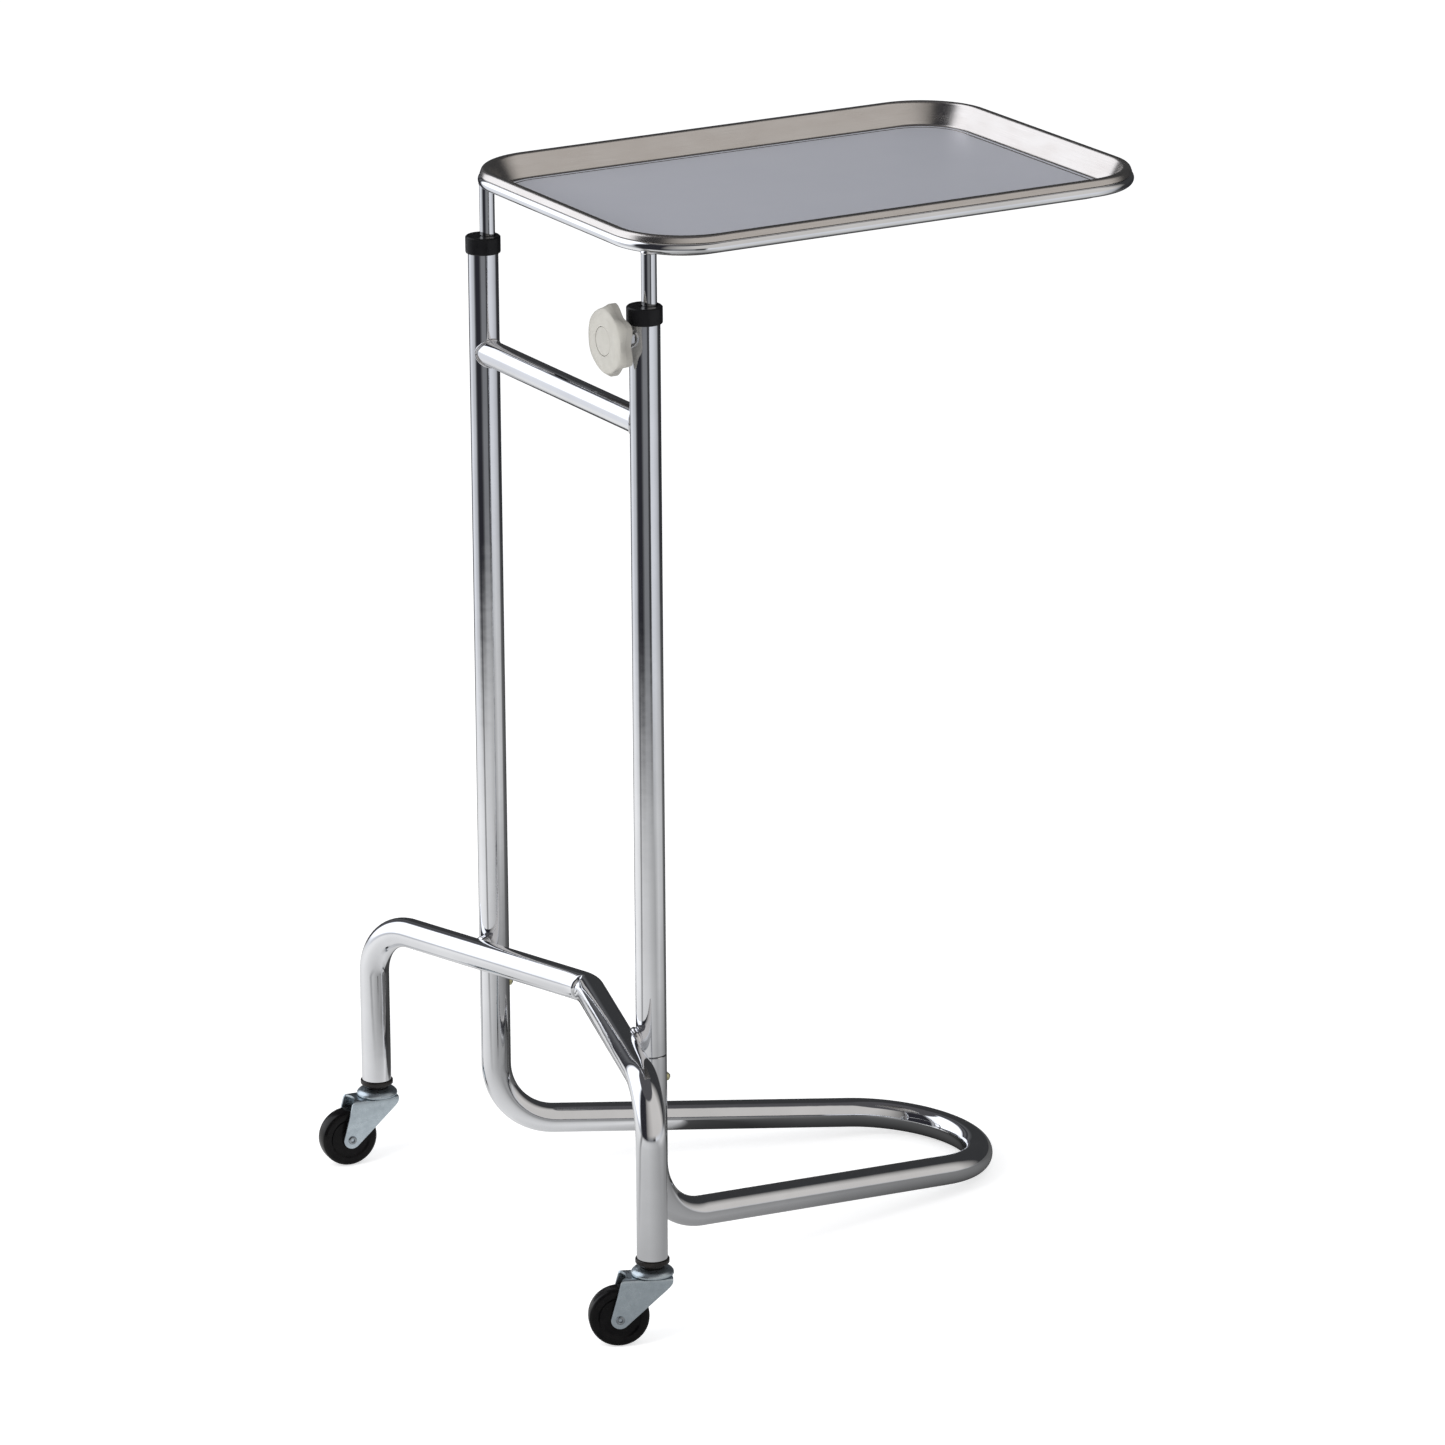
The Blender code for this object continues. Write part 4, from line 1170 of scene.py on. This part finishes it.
def build_floor_in_reflections():
    """A soft-edged sheet, lit and shaded by direction, that only reflections show."""
    item, graph, surface = floor_sheet("floor_in_reflections", 5.0, -0.0001)
    item.visible_camera = False
    item.visible_diffuse = False
    item.visible_shadow = False
    item.visible_transmission = False
    place = graph.add("ShaderNodeNewGeometry").outputs["Position"]
    split = graph.add("ShaderNodeSeparateXYZ", {"Vector": place})
    reach = graph.add("ShaderNodeVectorMath", {0: place}, operation='LENGTH').outputs["Value"]
    turn = graph.azimuth(split.outputs[0], split.outputs[1])
    near = graph.ramp(turn, degrees((
        (-180.0, 0.58), (-161.0, 0.46), (-149.0, 0.40), (-126.0, 0.37), (-103.0, 0.34),
        (-79.0, 0.31), (-53.0, 0.26), (-23.0, 0.21), (-8.0, 0.13), (60.0, 0.05), (95.0, 0.07),
        (104.0, 0.60), (137.0, 0.80), (159.0, 0.70), (180.0, 0.58),
    )))
    far = graph.ramp(turn, degrees((
        (-180.0, 0.30), (-177.0, 0.24), (-170.0, 0.74), (-161.0, 0.70), (-137.0, 0.66),
        (-114.0, 0.54), (-91.0, 0.44), (-84.0, 0.50), (-66.0, 0.66), (-23.0, 0.56),
        (-8.0, 0.14), (60.0, 0.05), (95.0, 0.10), (104.0, 0.85), (137.0, 0.98),
        (159.0, 0.90), (173.0, 0.82), (180.0, 0.30),
    )))
    level = graph.mix(graph.share(reach, 0.35, 0.90), near, far)
    shade = graph.add("ShaderNodeAmbientOcclusion", {"Distance": 0.06}).outputs["AO"]
    tinted = graph.mix(shade, (0.0, 0.0, 0.0), level)
    glow = graph.add("ShaderNodeEmission", {"Color": tinted, "Strength": 1.0})
    clear = graph.add("ShaderNodeBsdfTransparent")
    edge = graph.share(reach, 1.15, 2.15, interpolation_type='SMOOTHSTEP')
    blend = graph.add("ShaderNodeMixShader", {0: edge, 1: glow.outputs[0], 2: clear.outputs[0]})
    graph.tree.links.new(blend.outputs[0], surface)


def build_world():
    """Soft white surroundings.  Polished metal sees soft boxes with darker gaps between them."""
    world = bpy.data.worlds.new("studio")
    world.use_nodes = True
    bpy.context.scene.world = world
    graph = Graph(world)
    way = graph.add("ShaderNodeTexCoord").outputs["Generated"]
    x, y, z = graph.add("ShaderNodeSeparateXYZ", {"Vector": way}).outputs
    azimuth = graph.azimuth(x, y)
    height = graph.math('ADD', graph.math('DIVIDE', graph.math('ARCSINE', z), pi), 0.5)

    warm = (1.0, 0.965, 0.93)
    cool = (0.93, 0.95, 1.0)
    dark = (0.026, 0.026, 0.032)

    def tinted(stops):
        return degrees((a, tuple(level * c for c in tint)) for a, level, tint in stops)

    low = graph.ramp(azimuth, tinted((
        (-180.0, 1.0, dark), (-152.0, 1.0, dark), (-143.0, 0.10, cool), (-134.0, 0.22, cool),
        (-112.0, 0.23, cool), (-104.0, 0.19, cool), (-101.0, 0.05, cool), (-89.0, 0.05, cool),
        (-84.0, 0.80, cool), (-60.0, 0.75, cool), (-40.0, 0.62, cool), (-22.0, 0.47, cool),
        (-8.0, 0.04, cool), (60.0, 1.0, dark), (96.0, 1.0, dark), (103.0, 0.82, cool),
        (124.0, 0.90, cool), (140.0, 0.68, cool), (160.0, 0.56, cool), (172.0, 0.12, cool),
        (180.0, 1.0, dark),
    )))
    middle = graph.ramp(azimuth, tinted((
        (-180.0, 1.0, dark), (-152.0, 1.0, dark), (-143.0, 0.25, warm), (-125.0, 0.46, warm),
        (-100.0, 0.62, warm), (-60.0, 0.62, warm), (-30.0, 0.64, warm), (-14.0, 0.36, warm),
        (0.0, 0.045, cool), (72.0, 0.045, cool), (81.0, 0.13, cool), (85.0, 1.0, dark),
        (92.0, 0.15, cool), (97.0, 1.0, dark), (103.0, 1.5, cool), (152.0, 1.6, cool),
        (162.0, 1.0, cool), (169.0, 1.0, dark), (180.0, 1.0, dark),
    )))
    high = (0.088, 0.086, 0.092)

    def between(start, end):
        """Eases from 0 to 1 between two elevations in degrees."""
        start, end = (0.5 + angle / 180.0 for angle in (start, end))
        return graph.share(height, start, end, interpolation_type='SMOOTHSTEP')

    lower_mix = between(-6.0, 3.0)
    upper_mix = between(55.0, 60.0)
    seen = graph.mix(upper_mix, graph.mix(lower_mix, low, middle), high)
    path = graph.add("ShaderNodeLightPath")
    plain = graph.mix(path.outputs["Is Diffuse Ray"], (1.0, 1.0, 1.0), (0.54, 0.545, 0.56))
    colour = graph.mix(path.outputs["Is Glossy Ray"], plain, seen)
    graph.tree.links.new(colour, graph.tree.nodes["Background"].inputs["Color"])


def build_lights():
    """Two soft lights aimed at the middle of the stand, unseen in reflections."""
    for name, spot, size, power in (
        ("key", (-2.8, -0.6, 2.2), 1.4, 46.0),
        ("front_fill", (0.6, -3.2, 2.4), 2.2, 12.0),
    ):
        data = bpy.data.lights.new(name, 'AREA')
        data.energy = power
        data.size = size
        lamp = add_object(name, data)
        lamp.location = spot
        aim = Vector((0.0, 0.0, 0.5)) - Vector(spot)
        lamp.rotation_mode = 'QUATERNION'
        lamp.rotation_quaternion = aim.to_track_quat('-Z', 'Y')
        lamp.visible_glossy = False


def build_camera():
    """A long lens, a little above the tray and turned to show the casters' side."""
    yaw = radians(60.13)
    pitch = radians(17.64)
    roll = radians(-0.36)
    flat = cos(pitch)
    ahead = Vector((cos(yaw) * flat, sin(yaw) * flat, -sin(pitch)))
    level = Vector((sin(yaw), -cos(yaw), 0.0))
    upright = level.cross(ahead)
    right = level * cos(roll) + upright * sin(roll)
    up = upright * cos(roll) - level * sin(roll)
    data = bpy.data.cameras.new("camera")
    data.lens = 184.56
    data.sensor_width = 36.0
    data.clip_end = 200.0
    camera = add_object("camera", data)
    axes = Matrix((right, up, -ahead)).transposed().to_4x4()
    spot = ORIGIN + Vector((-2.807, -5.145, 2.317))
    camera.matrix_world = Matrix.Translation(spot) @ axes
    bpy.context.scene.camera = camera


build_posts()
build_crossbar()
build_caster_bar()
build_base_loop()
build_caps()
build_clamp()
build_support()
build_tray()
for caster_side, caster_sign in SIDES:
    build_caster(caster_side, caster_sign)
finish_kept_nodes()
build_floor()
build_floor_in_reflections()
build_world()
build_lights()
build_camera()
bpy.context.scene.view_settings.view_transform = 'Standard'
bpy.context.view_layer.update()
